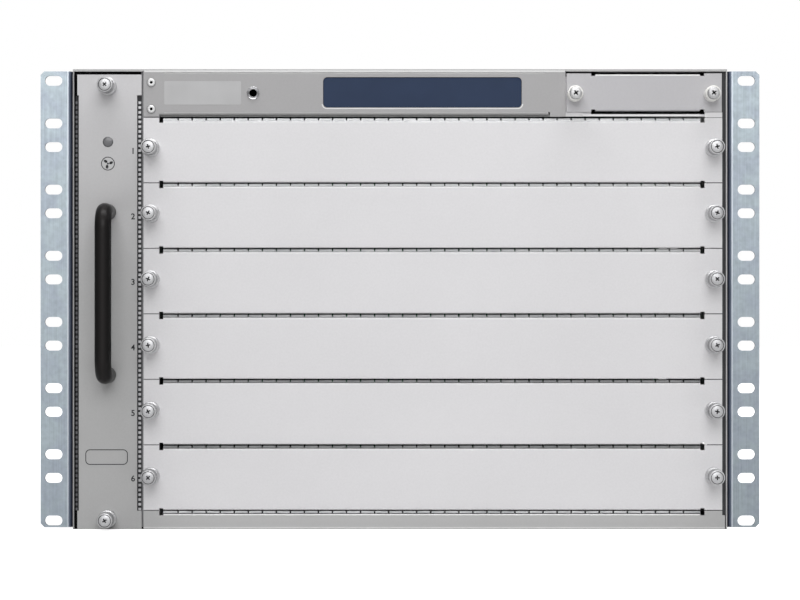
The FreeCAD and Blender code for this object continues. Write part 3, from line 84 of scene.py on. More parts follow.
class RouterSizes(bpy.types.PropertyGroup):
    head_radius: length("Screw head radius", "Outside of the knurled head", 5.1)
    head_height: length("Screw head height", "From the cover's face to the front of the head", 19.5)
    ferrule_radius: length("Ferrule radius", "Sleeve that holds the screw captive", 5.9)
    ferrule_height: length("Ferrule height", "How far the sleeve stands off the cover", 7)
    neck_radius: length("Neck radius", "Waist between the sleeve and the head", 4.2)
    knurl_depth: length("Knurl depth", "Depth of the grooves round the head", 0.16)
    knurl_teeth: IntProperty(
        name="Knurl teeth", description="Grooves round the head", default=36, min=12, max=60
    )
    cross_length: length("Cross length", "Tip to tip of the driver recess", 3.8)
    cross_width: length("Cross width", "Width of one arm of the driver recess", 1.05)
    cross_depth: length("Cross depth", "Depth of the driver recess", 1.7)
    pan_dome: length("Pan dome", "Rise of the rounded top of the pan heads", 1.4)
    pan_cross_length: length("Pan cross length", "Tip to tip of the recess in the pan heads", 4.6)
    pan_cross_width: length("Pan cross width", "Width of one arm of the recess in the pan heads", 1.25)
    shank_radius: length("Shank radius", "Thread of the pan-head screws", 2)
    rivet_bore: length("Rivet bore", "Radius of the hole in the rivets", 0.9)
    socket_bore: length("Socket bore", "Radius of the strap socket's hole", 2.3)
    strip_thickness: length("Strip thickness", "Thickness of the strips on the bezel", 0.03)
    number_height: length("Number height", "Height of the printed slot numbers", 3.9)
    number_weight: length("Number weight", "How far the strokes of the numbers are thickened", 0.11)
    number_inset: length("Number inset", "From the tray's right edge to the middle of the numbers", 5.7)
    number_drop: length("Number drop", "How far the numbers sit below the screws' middles", 2)
    ink_thickness: length("Ink thickness", "How far the printing stands off the paint", 0.03)
    sign_radius: length("Fan sign radius", "Outside of the printed fan sign", 4.6)
    sign_drop: length("Fan sign drop", "From the lens down to the middle of the fan sign", 11)
    print_line: length("Print line", "Width of the printed outline", 0.55)
    print_corner: length("Print corner", "Corner radius of the printed outline", 3)
    print_left: length("Print left", "From the tray's left edge to the printed outline", 5.4)
    print_right: length("Print right", "From the tray's left edge to the outline's far side", 33.8)
    print_foot: length("Print foot", "Height of the lower side of the printed outline", 43.2)
    print_head: length("Print head", "Height of the upper side of the printed outline", 53.5)
    film_thickness: length("Film thickness", "Thickness of the bare label film", 0.08)
    film_left: length("Film left", "Left side of the label film, from the chassis's middle", -157.8)
    film_right: length("Film right", "Right side of the label film, from the chassis's middle", -106.4)
    film_foot: length("Film foot", "Height of the label film's lower side", 284.3)
    film_head: length("Film head", "Height of the label film's upper side", 300)
    film_corner: length("Film corner", "Corner radius of the label film", 0.8)
    camera_distance: length("Camera distance", "From the lens to the covers' faces", 1650)
    camera_height: length("Camera height", "Height of the lens above the floor", 153.5)
    view_width: length("View width", "Width that the picture takes in at the covers' faces", 535.5)


class RouterColours(bpy.types.PropertyGroup):
    shell: colour("Shell paint", "Grey of the chassis skin", "B9B9B9")
    bezel: colour("Bezel paint", "Grey of the top bezel", "A8A7A8")
    # the three tray greys paint light and shade: lighter at the head, darkest at half height
    tray_top: colour("Fan tray paint, top", "Grey of the fan tray panel at its head", "CCCBCD")
    tray_middle: colour("Fan tray paint, middle", "Grey of the fan tray panel at half height", "B1B1B1")
    tray_foot: colour("Fan tray paint, foot", "Grey of the fan tray panel at its foot", "B4B4B4")
    cover: colour("Cover paint", "Off-white of the slot covers", "E2E1E3")
    sensor: colour("Sensor panel paint", "Grey of the small sensor module", "BDBCBF")
    badge: colour("Badge", "Navy of the bare badge", "2C3A54")
    # edge is a painted highlight, laid on bends and edges where light falls
    edge: colour("Edge paint", "Thin paint on the edges that catch the light", "E2E2E2")
    zinc: colour("Zinc plate", "Blue-white of the rack ears", "B5C1C8")
    zinc_lilac: colour("Zinc bloom", "Lilac clouds in the plating", "AEB8C3")
    steel: colour("Screw steel", "Nickel on the screws", "D9D9DA")
    sheet: colour("Bare sheet", "Galvanised sheet inside", "B4B7B9")
    black: colour("Black coating", "Handles at the rear and moulded parts", "151314")
    board: colour("Board", "Solder mask of the boards", "1E5A38")
    ink: colour("Ink", "Printing on the fan tray", "2B2B2D")
    film: colour("Label film", "Bare film on the bezel", "BBBBBC")
    lens: colour("Lens", "Unlit status lens", "707073")


def feed(tree, made, sockets):
    """Sets sockets to plain values, or links them to an output or to a node's first output in use.
    A socket goes by its number, or by its name with underscores for spaces."""
    for key, value in sockets.items():
        socket = made.inputs[key if isinstance(key, int) else key.replace("_", " ")]
        if isinstance(value, bpy.types.Node):
            value = next(output for output in value.outputs if output.enabled)
        if isinstance(value, bpy.types.NodeSocket):
            tree.links.new(value, socket)
        else:
            socket.default_value = value


def node(tree, kind, numbered=None, **named):
    """Adds a node, a shader node where its kind is short; names in small letters are its settings."""
    made = tree.nodes.new(kind if "Node" in kind else "ShaderNode" + kind)
    for key, value in named.items():
        if key.islower():
            setattr(made, key, value)
    feed(tree, made, numbered or {})
    feed(tree, made, {key: value for key, value in named.items() if not key.islower()})
    return made


def new_material(name):
    """A material with its shader alone, its tree, and the Object coordinates for its patterns."""
    material = bpy.data.materials.new(name)
    material.use_nodes = True
    place = node(material.node_tree, "TexCoord").outputs["Object"]
    return material, material.node_tree, place


def finished(material, **sockets):
    """Feeds the shader's own sockets."""
    tree = material.node_tree
    feed(tree, tree.nodes["Principled BSDF"], sockets)
    return material


def rgba(tone):
    """What a colour socket takes, from sRGB hex or linear numbers."""
    return (*(linear(tone) if isinstance(tone, str) else tone), 1)


def shaded(tone, share):
    """A linear colour made darker, or lighter where the share is over 1."""
    return [part * share for part in tone]


def per_mm(size):
    """Noise scale whose features are about this many millimetres wide."""
    return 1 / (size * MM)


def powder_coat(name, foot, middle=None, top=None, roughness=0.45):
    """Baked powder coat on sheet steel: dull and even, with a faint orange peel and speckle.
    Real peel is about 0.5 mm across; it is drawn at 1.4 mm so that it shows."""
    material, tree, place = new_material(name)
    # the grey may change with height; on the fan tray this ramp is painted light and shade
    height = node(tree, "SeparateXYZ", Vector=place).outputs["Z"]
    rise = node(tree, "MapRange", Value=height, From_Min=0.0, From_Max=CHASSIS_TOP)
    tint = node(tree, "ValToRGB", Fac=rise)
    stops = tint.color_ramp.elements
    stops.new(0.5)
    for stop, tone in zip(stops, (foot, middle or foot, top or foot)):
        stop.color = rgba(tone)
    cloud = node(tree, "TexNoise", Vector=place, Scale=per_mm(90), Detail=3.0)
    speck = node(tree, "TexNoise", Vector=place, Scale=per_mm(1.4), Detail=2.0)
    both = node(tree, "Math", {0: cloud, 1: speck}, operation="ADD")
    value = node(tree, "MapRange", Value=both, From_Min=0.6, From_Max=1.4, To_Min=0.965, To_Max=1.035)
    shade = node(tree, "HueSaturation", Value=value, Color=tint)
    bump = node(tree, "Bump", Height=speck, Strength=0.25, Distance=0.05 * MM)
    return finished(material, Base_Color=shade, Roughness=roughness, Normal=bump)


def streaked_metal(name, light, dark, roughness, across, along, axis="Z"):
    """Plated, rolled or turned metal: fine streaks along one axis vary its colour and gloss."""
    material, tree, place = new_material(name)
    stretch = [per_mm(across)] * 3
    stretch["XYZ".index(axis)] = per_mm(along)
    drawn = node(tree, "Mapping", Vector=place, Scale=stretch)
    streak = node(tree, "TexNoise", Vector=drawn, Scale=1.0, Detail=4.0, Roughness=0.6)
    cloud = node(tree, "TexNoise", Vector=place, Scale=per_mm(45), Detail=2.0)
    both = node(tree, "Math", {0: streak, 1: cloud}, operation="ADD")
    grade = node(tree, "MapRange", Value=both, From_Min=0.7, From_Max=1.3)
    tint = node(tree, "Mix", {0: grade, 6: rgba(dark), 7: rgba(light)}, data_type="RGBA")
    dullest, glossiest = roughness * 1.25, roughness * 0.8
    gloss = node(
        tree, "MapRange", Value=streak, From_Min=0.3, From_Max=0.7, To_Min=dullest, To_Max=glossiest
    )
    bump = node(tree, "Bump", Height=streak, Strength=0.12, Distance=0.03 * MM)
    return finished(material, Base_Color=tint, Metallic=1.0, Roughness=gloss, Normal=bump)


def turned_metal(name, light, dark, roughness=0.5, across=0.5):
    """Metal turned on a lathe: its short streaks run along the axis of the screws and rivets."""
    return streaked_metal(name, light, dark, roughness, across, along=3, axis="Y")


def spring_steel(name, light, dark, roughness=0.4):
    """Rolled spring strip: a satin grey with streaks that run along X, across the router."""
    return streaked_metal(name, light, dark, roughness, across=0.6, along=6, axis="X")


def zinc_plate(name, blue, lilac, foot, head):
    """Zinc electroplate under a clear passivate: cloudy blue and lilac patches some 14 mm across,
    mottled at 3 mm, with faint upright rolling marks, and darker towards the foot as painted shade.
    The shares foot and head say how bright it is at the foot and from six tenths of the height up."""
    material, tree, place = new_material(name)
    cloud = node(tree, "TexNoise", Vector=place, Scale=per_mm(14), Detail=3.0, Distortion=0.6)
    patch = node(tree, "MapRange", Value=cloud, From_Min=0.38, From_Max=0.62)
    tint = node(tree, "Mix", {0: patch, 6: rgba(blue), 7: rgba(lilac)}, data_type="RGBA")
    mottle = node(tree, "TexNoise", Vector=place, Scale=per_mm(3), Detail=4.0)
    stretch = (per_mm(0.9), per_mm(0.9), per_mm(60))
    rolled = node(tree, "Mapping", Vector=place, Scale=stretch)
    streak = node(tree, "TexNoise", Vector=rolled, Scale=1.0, Detail=3.0)
    both = node(tree, "Math", {0: mottle, 1: streak}, operation="ADD")
    spread = dict(Value=both, From_Min=0.7, From_Max=1.3)
    value = node(tree, "MapRange", **spread, To_Min=0.9, To_Max=1.1)
    height = node(tree, "SeparateXYZ", Vector=place).outputs["Z"]
    full = CHASSIS_TOP * 0.6
    height_shade = node(tree, "MapRange", Value=height, From_Min=0.0, From_Max=full, To_Min=foot, To_Max=head)
    painted_light = node(tree, "Math", {0: value, 1: height_shade}, operation="MULTIPLY")
    shade = node(tree, "HueSaturation", Value=painted_light, Color=tint)
    gloss = node(tree, "MapRange", **spread, To_Min=0.52, To_Max=0.4)
    bump = node(tree, "Bump", Height=mottle, Strength=0.15, Distance=0.05 * MM)
    return finished(material, Base_Color=shade, Metallic=0.9, Roughness=gloss, Normal=bump)


def spangled_sheet(name, tone):
    """Hot-dip galvanised steel: crystals some 9 mm across, each with its own grey and gloss."""
    material, tree, place = new_material(name)
    crystal = node(tree, "TexVoronoi", Vector=place, Scale=per_mm(9))
    pick = node(tree, "SeparateColor", Color=crystal.outputs["Color"])
    value = node(tree, "MapRange", Value=pick.outputs["Red"], To_Min=0.86, To_Max=1.1)
    shade = node(tree, "HueSaturation", Value=value, Color=rgba(tone))
    gloss = node(tree, "MapRange", Value=pick.outputs["Green"], To_Min=0.3, To_Max=0.5)
    return finished(material, Base_Color=shade, Metallic=0.9, Roughness=gloss)


def moulded_plastic(name, tone, roughness, shine=0.3):
    """Moulded, foamed or coated surface: a fine grain that softens the gloss, and faint clouds.
    Real grain is about 0.2 mm; it is drawn at 0.9 mm so that it shows."""
    material, tree, place = new_material(name)
    pit = node(tree, "TexNoise", Vector=place, Scale=per_mm(0.9), Detail=3.0)
    cloud = node(tree, "TexNoise", Vector=place, Scale=per_mm(25), Detail=2.0)
    value = node(tree, "MapRange", Value=cloud, To_Min=0.85, To_Max=1.15)
    shade = node(tree, "HueSaturation", Value=value, Color=rgba(tone))
    gloss = node(tree, "MapRange", Value=pit, To_Min=roughness * 0.85, To_Max=roughness * 1.15)
    bump = node(tree, "Bump", Height=pit, Strength=0.3, Distance=0.04 * MM)
    return finished(material, Base_Color=shade, Roughness=gloss, Normal=bump, Specular_IOR_Level=shine)


def handled_coating(name, side_shade, painted_light, bar):
    """Black coating on a bar, drawn deep along its sides and paler along the middle: painted highlight and
    shade of the round bar.
    """
    material, tree, place = new_material(name)
    low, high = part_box(bar)
    middle, half_width = (low.x + high.x) / 2, (high.x - low.x) / 2
    across = node(tree, "SeparateXYZ", Vector=place).outputs["X"]
    off = node(tree, "Math", {0: across, 1: middle}, operation="SUBTRACT")
    away = node(tree, "Math", {0: off}, operation="ABSOLUTE")
    side = node(tree, "MapRange", Value=away, From_Min=0.0, From_Max=half_width)
    tint = node(tree, "Mix", {0: side, 6: rgba(painted_light), 7: rgba(side_shade)}, data_type="RGBA")
    grain = node(tree, "TexNoise", Vector=place, Scale=per_mm(0.9), Detail=3.0)
    bump = node(tree, "Bump", Height=grain, Strength=0.3, Distance=0.04 * MM)
    return finished(material, Base_Color=tint, Roughness=0.32, Normal=bump, Specular_IOR_Level=0.12)


def smoked_lens(name, tone, lens):
    """Smoked polycarbonate light pipe: grey and glossy, and darker at its rim as painted shade from the
    panel's hole.
    """
    material, tree, place = new_material(name)
    low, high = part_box(lens)
    parts = node(tree, "SeparateXYZ", Vector=place)
    level = node(tree, "CombineXYZ", X=parts.outputs["X"], Z=parts.outputs["Z"])
    middle, radius = ((low.x + high.x) / 2, 0, (low.z + high.z) / 2), (high.x - low.x) / 2
    away = node(tree, "VectorMath", {0: level, 1: middle}, operation="DISTANCE")
    rim = node(tree, "MapRange", Value=away, From_Min=radius * 0.7, From_Max=radius * 0.98)
    dark = rgba(shaded(tone, 0.35))
    tint = node(tree, "Mix", {0: rim, 6: rgba(tone), 7: dark}, data_type="RGBA")
    return finished(material, Base_Color=tint, Roughness=0.25, IOR=1.58)


def solder_mask(name, tone):
    """Glass-epoxy board under green solder mask: copper tracks show as paler lines at a 2.5 mm pitch."""
    material, tree, place = new_material(name)
    bricks_per_unit = 4
    track = node(
        tree, "TexBrick", Vector=place, Color1=rgba(tone), Color2=rgba(shaded(tone, 0.8)),
        Mortar=rgba(shaded(tone, 1.7)), Scale=per_mm(2.5) / bricks_per_unit, Mortar_Size=0.03,
    )
    return finished(material, Base_Color=track, Roughness=0.35, IOR=1.5)


def dress(material, *nodes):
    """Gives CAD nodes their finish."""
    for name in nodes:
        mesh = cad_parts[name].data
        mesh.materials.clear()
        mesh.materials.append(material)


def dress_where(material, name, chosen):
    """Gives the faces of a CAD node that the test picks a second finish."""
    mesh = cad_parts[name].data
    mesh.materials.append(material)
    place = len(mesh.materials) - 1
    for face in mesh.polygons:
        if chosen(face):
            face.material_index = place


def ahead(face, least=0.5):
    """Whether a face looks to the front; least is the part of its normal that has to point there."""
    return face.normal.y < -least


def depth(face):
    """How far a face lies behind the covers' faces."""
    return face.center.y - FACE_Y


def linked(name, data):
    """A new object in the scene."""
    made = bpy.data.objects.new(name, data)
    bpy.context.scene.collection.objects.link(made)
    return made


def new_piece(name, mesh, body, material=None):
    """A finished piece at the origin, with its place in its mesh, riding on a body."""
    mesh.name = name
    if material is not None:
        mesh.materials.clear()
        mesh.materials.append(material)
    piece = linked(name, mesh)
    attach(piece, body)
    return piece


def plain_mesh(obj):
    """The evaluated shape of an object as a mesh of its own."""
    bpy.context.view_layer.update()
    return bpy.data.meshes.new_from_object(obj.evaluated_get(bpy.context.evaluated_depsgraph_get()))


def as_mesh(form, name, closed=True):
    """Ends a bmesh as a mesh; the faces of one that was closed by hand are turned outwards."""
    if closed:
        bmesh.ops.recalc_face_normals(form, faces=form.faces)
    mesh = bpy.data.meshes.new(name)
    form.to_mesh(mesh)
    form.free()
    return mesh


def band(outer, inner):
    """Four-sided outlines that fill the band between two rings with as many points."""
    return list(zip(outer, outer[1:] + outer[:1], inner[1:] + inner[:1], inner))


def flat_piece(name, outlines, thickness, front, material, body):
    """A thin print or film: filled outlines in X and Z, standing off the face at y = front."""
    form = bmesh.new()
    for outline in outlines:
        backs = [form.verts.new((x, front, z)) for x, z in outline]
        fronts = [form.verts.new((x, front - thickness, z)) for x, z in outline]
        for face in (fronts, backs[::-1], *band(backs, fronts)):
            form.faces.new(face)
    new_piece(name, as_mesh(form, name), body, material)


def arc(x, z, radius, start, end, steps):
    """Points on an arc, with its angles in degrees."""
    turns = [math.radians(start + (end - start) * step / steps) for step in range(steps + 1)]
    return [(x + radius * math.cos(turn), z + radius * math.sin(turn)) for turn in turns]


def circle(x, z, radius, steps):
    """Points all round a circle."""
    return arc(x, z, radius, 0, 360 - 360 / steps, steps - 1)


def rounded(left, right, low, high, corner, steps=6):
    """Outline of a rectangle with round corners."""
    places = (
        (right - corner, high - corner, 0), (left + corner, high - corner, 90),
        (left + corner, low + corner, 180), (right - corner, low + corner, 270),
    )
    return [point for x, z, start in places for point in arc(x, z, corner, start, start + 90, steps)]


class ROUTER_OT_shell(bpy.types.Operator):
    """Paints the outer skin and galvanises the sheet inside"""

    bl_idname = "router.shell"
    bl_label = "Shell"

    def execute(self, context):
        tones = context.scene.router_colours
        paint = powder_coat("powder_coat_grey", tones.shell)
        dress(paint, "base_pan", "left_side_panel", "right_side_panel", "top_cover", "rear_panel")
        dress(spangled_sheet("galvanised_steel", tones.sheet), "fan_bay_wall", "cage_deck", "fan_tray_frame")
        # the seats behind the panels are drawn black, dark grey or mid-grey: painted shade in the joints
        black = moulded_plastic("black_painted_joint_shade", "0C0C0D", 0.95, shine=0.05)
        grey = moulded_plastic("grey_painted_joint_shade", "4A4A4C", 0.95, shine=0.05)
        pale = moulded_plastic("pale_painted_joint_shade", "8E8E90", 0.8, shine=0.1)
        side_reach, reach = 218.4 * MM, 219 * MM
        seats = {
            "left_side_panel": (side_reach, black), "right_side_panel": (side_reach, grey),
            "top_cover": (reach, black), "base_pan": (reach, black), "fan_bay_wall": (reach, pale),
        }
        skin, seat_depth, bend_depth = 0.3 * MM, 20 * MM, 2 * MM
        for name, (half_width, joint_shade) in seats.items():
            dress_where(joint_shade, name, lambda face: (
                ahead(face, 0.3) and skin < depth(face) < seat_depth and abs(face.center.x) < half_width
            ))
        # painted shade: the left side panel's front edge is drawn darker
        painted_light = powder_coat("powder_coat_painted_shade_edge", "9E9E9E")
        dress_where(painted_light, "left_side_panel", lambda face: ahead(face, 0.9) and depth(face) < skin)
        # painted highlight on the bends along the top and the foot of the sill
        bright = powder_coat("powder_coat_painted_highlight_on_bends", tones.edge)
        dress_where(bright, "base_pan", lambda face: (
            ahead(face, 0.3) and abs(face.normal.z) > 0.05 and depth(face) < bend_depth
        ))
        return {"FINISHED"}


class ROUTER_OT_front(bpy.types.Operator):
    """Paints the bezel, the fan tray panel, the sensor panel and the slot covers, and films the badge"""

    bl_idname = "router.front"
    bl_label = "Front panels"

    def execute(self, context):
        tones = context.scene.router_colours
        dress(powder_coat("powder_coat_bezel", tones.bezel), "front_bezel")
        # painted light and shade: the tray is lighter at its head and darkest at half height
        tray = powder_coat("powder_coat_fan_tray", tones.tray_foot, tones.tray_middle, tones.tray_top)
        dress(tray, "fan_tray_panel")
        dress(powder_coat("powder_coat_sensor", tones.sensor), "sensor_panel")
        cover = powder_coat("powder_coat_off_white", tones.cover, roughness=0.55)
        dress(cover, *(f"slot_cover_{number}" for number in SLOTS))
        # the deck's front edge is painted like the covers, and greyer under the bezel as painted shade
        edge_depth, right_part = 25 * MM, 100 * MM
        dress_where(cover, "cage_deck", lambda face: ahead(face) and depth(face) < edge_depth)
        bend = powder_coat("powder_coat_under_bezel", "9C9C9C")
        bezel_end = BEZEL_HIGH.x - right_part
        dress_where(bend, "cage_deck", lambda face: ahead(face) and face.center.x < bezel_end)
        # painted highlight: the bezel's bends are drawn paler
        pale = powder_coat("powder_coat_painted_highlight_bend", "CACACA")
        dress_where(pale, "front_bezel", lambda face: ahead(face, 0.1) and abs(face.normal.z) > 0.15)
        # the film lies on the badge and on the floor of its recess
        navy = moulded_plastic("satin_navy_film", tones.badge, 0.42, shine=0.15)
        dress(navy, "badge_plate")
        recess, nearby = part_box("badge_plate")[1].y, 0.1 * MM
        dress_where(navy, "front_bezel", lambda face: (
            ahead(face, 0.9) and abs(face.center.y - recess) < nearby
        ))
        # painted highlight: the sensor panel's upward bends are drawn bright
        bright = powder_coat("powder_coat_bright_edge", tones.edge)
        dress_where(bright, "sensor_panel", lambda face: ahead(face, 0.1) and face.normal.z > 0.05)
        return {"FINISHED"}


class ROUTER_OT_bezel_strips(bpy.types.Operator):
    """Lays a painted highlight along the bezel's top, fills the cuts at its bends, and lays painted shade
    along its foot and a painted highlight along the foot of the badge's recess
    """

    bl_idname = "router.bezel_strips"
    bl_label = "Bezel strips"

    def execute(self, context):
        thick = context.scene.router_sizes.strip_thickness
        paint, bright, bend = (
            bpy.data.materials[f"powder_coat_{finish}"] for finish in ("bezel", "bright_edge", "under_bezel")
        )
        front, left, right = BEZEL_LOW.y, BEZEL_LOW.x, BEZEL_HIGH.x
        lip_end, cut_start, foot_end, cut_end = 0.5 * MM, 10 * MM, 11.5 * MM, 13.7 * MM
        lip = (BEZEL_HIGH.z - 0.15 * MM, BEZEL_HIGH.z + 1.05 * MM)
        top_cut = (BEZEL_HIGH.z - 1.3 * MM, lip[0])
        foot_strip = (BEZEL_LOW.z + 1.5 * MM, BEZEL_LOW.z + 2.3 * MM)
        foot_cut = (foot_strip[1], BEZEL_LOW.z + 3.2 * MM)
        left_cut = (left + cut_start, left + cut_end)
        # the lip is a painted highlight over the joint at the bezel's top; the foot strip is painted shade
        # of its lower bend
        strips = {
            "bezel_lip": (lip, bright, [(left + lip_end, right - lip_end)]),
            "bezel_top_fillers": (top_cut, paint, [left_cut, (right - cut_end, right - cut_start)]),
            "bezel_foot_fillers": (foot_cut, paint, [left_cut, (right - cut_end, right - foot_end)]),
            "bezel_foot_strip": (foot_strip, bend, [(left + cut_start, right - foot_end)]),
        }
        for name, ((low, high), finish, spans) in strips.items():
            outlines = [[(start, low), (stop, low), (stop, high), (start, high)] for start, stop in spans]
            flat_piece(name, outlines, thick, front, finish, "chassis")
        inner, outer, corner = 0.6 * MM, 1.35 * MM, 2 * MM
        low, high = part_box("badge_plate")
        middle = (low.z + high.z) / 2
        rims = [
            rounded(low.x - off, high.x + off, low.z - off, high.z + off, corner + off)
            for off in (outer, inner)
        ]
        # painted highlight on the lower half of the recess's rim
        painted_light = [quad for quad in band(*rims) if max(z for _, z in quad) < middle]
        flat_piece("badge_recess_edge", painted_light, thick, front, bright, "chassis")
        return {"FINISHED"}


class ROUTER_OT_metalwork(bpy.types.Operator):
    """Plates the rack ears and their screws, and paints light and shade on the ears' bends and on the spring
    gaskets
    """

    bl_idname = "router.metalwork"
    bl_label = "Metalwork"

    def execute(self, context):
        tones = context.scene.router_colours
        # the bend is painted from deep shade, in its hollow, to a highlight where it runs out
        looks = (
            (0.1, 0.3, "zinc_painted_highlight", "E6ECF2", "D2DAE2", 0.4),
            (0.3, 0.55, "zinc_painted_half_shade", "8E98AA", "7C8698", 0.5),
            (0.55, 0.8, "zinc_painted_shade", "5A6276", "4A5064", 0.6),
            (0.8, 1.1, "zinc_painted_deep_shade", "4A4E58", "363A44", 0.6),
        )
        bend = [
            (least, most, streaked_metal(name, light, dark, roughness, across=1.5, along=30))
            for least, most, name, light, dark, roughness in looks
        ]
        # painted shade: the right ear is drawn darker than the left, and both darker towards the foot
        ears = {"left_rack_ear": (1, 0.99, 1.05), "right_rack_ear": (-1, 0.79, 0.95)}
        for name, (inward, foot, head) in ears.items():
            dress(zinc_plate(f"zinc_plated_{name}", tones.zinc, tones.zinc_lilac, foot, head), name)
            for least, most, finish in bend:
                dress_where(finish, name, lambda face: least < face.normal.x * inward <= most)
        steel = streaked_metal(
            "nickel_plated_steel", tones.steel, tones.sheet, 0.22, across=0.7, along=4, axis="Y"
        )
        dress(steel, "rack_ear_screws")
        # painted shade: the gaskets are drawn darker from the first slot to the last
        slot_shade = (0.95, 0.78, 0.62, 0.46, 0.3, 0.26)
        shares = {f"slot_gasket_{number}": share for number, share in zip(SLOTS, slot_shade)}
        shares["sill_gasket"] = 0.5
        for name, share in shares.items():
            light, dark = shaded(tones.steel, share), shaded(tones.sheet, share)
            dress(spring_steel(f"spring_steel_{name}", light, dark), name)
        dress(spring_steel("dulled_spring_steel", "C8C8CA", "B0B0B2", roughness=0.5), "fan_tray_gaskets")
        dark_shade = moulded_plastic("steel_painted_shade", "2E2E30", 0.7, shine=0.2)
        grey_shade = moulded_plastic("spring_steel_grey_painted_shade", "3C3C3E", 0.7, shine=0.2)
        # painted shade: the sill gasket's foot is drawn dark
        strip_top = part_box("sill_gasket")[0].z + 0.6 * MM
        dress_where(dark_shade, "sill_gasket", lambda face: (
            face.center.z < strip_top and (face.normal.z > 0.5 or ahead(face))
        ))
        # painted shade: both strips are drawn dark behind their fingers, and the left one's fingers grey, as
        # it sits deeper
        middle, finger_depth = (TRAY_LOW.x + TRAY_HIGH.x) / 2, 0.5 * MM
        for finish, side in ((dark_shade, -1), (grey_shade, 1)):
            dress_where(finish, "fan_tray_gaskets", lambda face: (
                (face.center.x - middle) * side > 0
                and (face.normal.y > -0.5 or depth(face) > finger_depth)
            ))
        finger_shade = spring_steel("spring_steel_finger_painted_shade", "77777A", "5C5C5F", roughness=0.6)
        dress_where(finger_shade, "fan_tray_gaskets", lambda face: (
            face.center.x < middle and ahead(face) and depth(face) < finger_depth
        ))
        return {"FINISHED"}


class ROUTER_OT_mouldings(bpy.types.Operator):
    """Finishes the handles, fans, connectors, guides, sleeves, boards and the status lens"""

    bl_idname = "router.mouldings"
    bl_label = "Mouldings"

    def execute(self, context):
        tones = context.scene.router_colours
        # painted highlight and shade: the fan handle is paler along its middle and deep at its sides
        dress(handled_coating("black_coating_painted_sheen", "020202", "282626", "fan_handle"), "fan_handle")
        rear = moulded_plastic("satin_black_coating_rear", tones.black, 0.4)
        dress(rear, "left_supply_handle", "right_supply_handle")
        fan = moulded_plastic("black_polyester", shaded(tones.black, 0.6), 0.5)
        dress(fan, "fan_housings", *(f"impeller_{number}" for number in SLOTS))
        resin = moulded_plastic("black_connector_resin", shaded(tones.black, 0.7), 0.55)
        dress(resin, "backplane_connectors", "fan_tray_connector", "left_supply_inlet", "right_supply_inlet")
        dress(moulded_plastic("natural_nylon", "EFEEEA", 0.45), "sensor_sleeves", "card_guides")
        dress(smoked_lens("smoked_polycarbonate", tones.lens, "fan_status_lens"), "fan_status_lens")
        dress(solder_mask("green_solder_mask", tones.board), "backplane", "sensor_board")
        return {"FINISHED"}


class ROUTER_OT_supplies(bpy.types.Operator):
    """Finishes the power supplies, with painted rear plates and plated inlet blades"""

    bl_idname = "router.supplies"
    bl_label = "Power supplies"

    def execute(self, context):
        tones = context.scene.router_colours
        case = streaked_metal("mill_aluminium", "C9CBCC", "A9ACAE", 0.4, across=0.8, along=60, axis="Y")
        plate = powder_coat("powder_coat_supply", tones.bezel)
        blade = streaked_metal(
            "nickel_plated_blades", tones.steel, tones.sheet, 0.25, across=0.7, along=6, axis="Y"
        )
        rear, plate_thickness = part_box("rear_panel")[1].y, MM
        shell, shroud = 4 * MM, 6 * MM
        for side in ("left", "right"):
            name, inlet = f"{side}_supply_case", f"{side}_supply_inlet"
            dress(case, name)
            dress_where(plate, name, lambda face: face.center.y > rear - plate_thickness)
            low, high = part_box(inlet)
            middle = (low + high) / 2
            dress_where(blade, inlet, lambda face: (
                abs(face.center.x - middle.x) < (high.x - low.x) / 2 - shroud
                and abs(face.center.z - middle.z) < (high.z - low.z) / 2 - shroud
                and face.center.y > low.y + shell
            ))
        return {"FINISHED"}


def lathe(profile, segments=48, knurl_span=(0, 0), knurl_depth=0):
    """Turns (distance, radius) points about the Y axis towards -Y; rows in the span are knurled."""
    form = bmesh.new()
    rings = []
    for distance, radius in profile:
        knurled = knurl_span[0] <= distance <= knurl_span[1]
        ring = []
        for step in range(segments):
            turn = 2 * math.pi * step / segments
            reach = radius - knurl_depth if knurled and step % 2 else radius
            ring.append(form.verts.new((reach * math.cos(turn), -distance, reach * math.sin(turn))))
        rings.append(ring)
    walls = [quad for near, far in zip(rings, rings[1:]) for quad in band(near, far)]
    for face in (*walls, rings[0], rings[-1]):
        form.faces.new(face)
    return as_mesh(form, "turned")


def cross_cutter(half, arm, depth, front):
    """A tapered plus-shaped plug that cuts the driver recess."""
    corners = []
    quarter = [(half, arm), (arm, arm), (arm, half)]
    for _ in range(4):
        corners += quarter
        quarter = [(-z, x) for x, z in quarter]
    form = bmesh.new()
    taper = 0.55
    top = [form.verts.new((x, -front - MM, z)) for x, z in corners]
    foot = [form.verts.new((x * taper, -front + depth, z * taper)) for x, z in corners]
    for face in (top, foot[::-1], *band(top, foot)):
        form.faces.new(face)
    return as_mesh(form, "cross")


def recessed(name, turned, cutter):
    """An object with the turned shape, into which the driver's recess is cut."""
    shape = linked(name, turned)
    plug = linked(name + "_plug", cutter)
    cut = shape.modifiers.new("recess", "BOOLEAN")
    cut.operation = "DIFFERENCE"
    cut.solver = "EXACT"
    cut.object = plug
    made = plain_mesh(shape)
    shape.modifiers.remove(cut)
    shape.data = made
    bpy.data.objects.remove(plug)
    return shape


def finish_spots(mesh, places, spots):
    """Gives rings of faces about each place their own finish.

    A spot is a finish, the ring's inside and outside radius, and the y between which its faces lie.
    """
    for finish, inside, outside, front, back in spots:
        mesh.materials.append(finish)
        for face in mesh.polygons:
            away = min(math.hypot(face.center.x - x, face.center.z - z) for x, _, z in places)
            if inside <= away < outside and front < face.center.y < back:
                face.material_index = len(mesh.materials) - 1


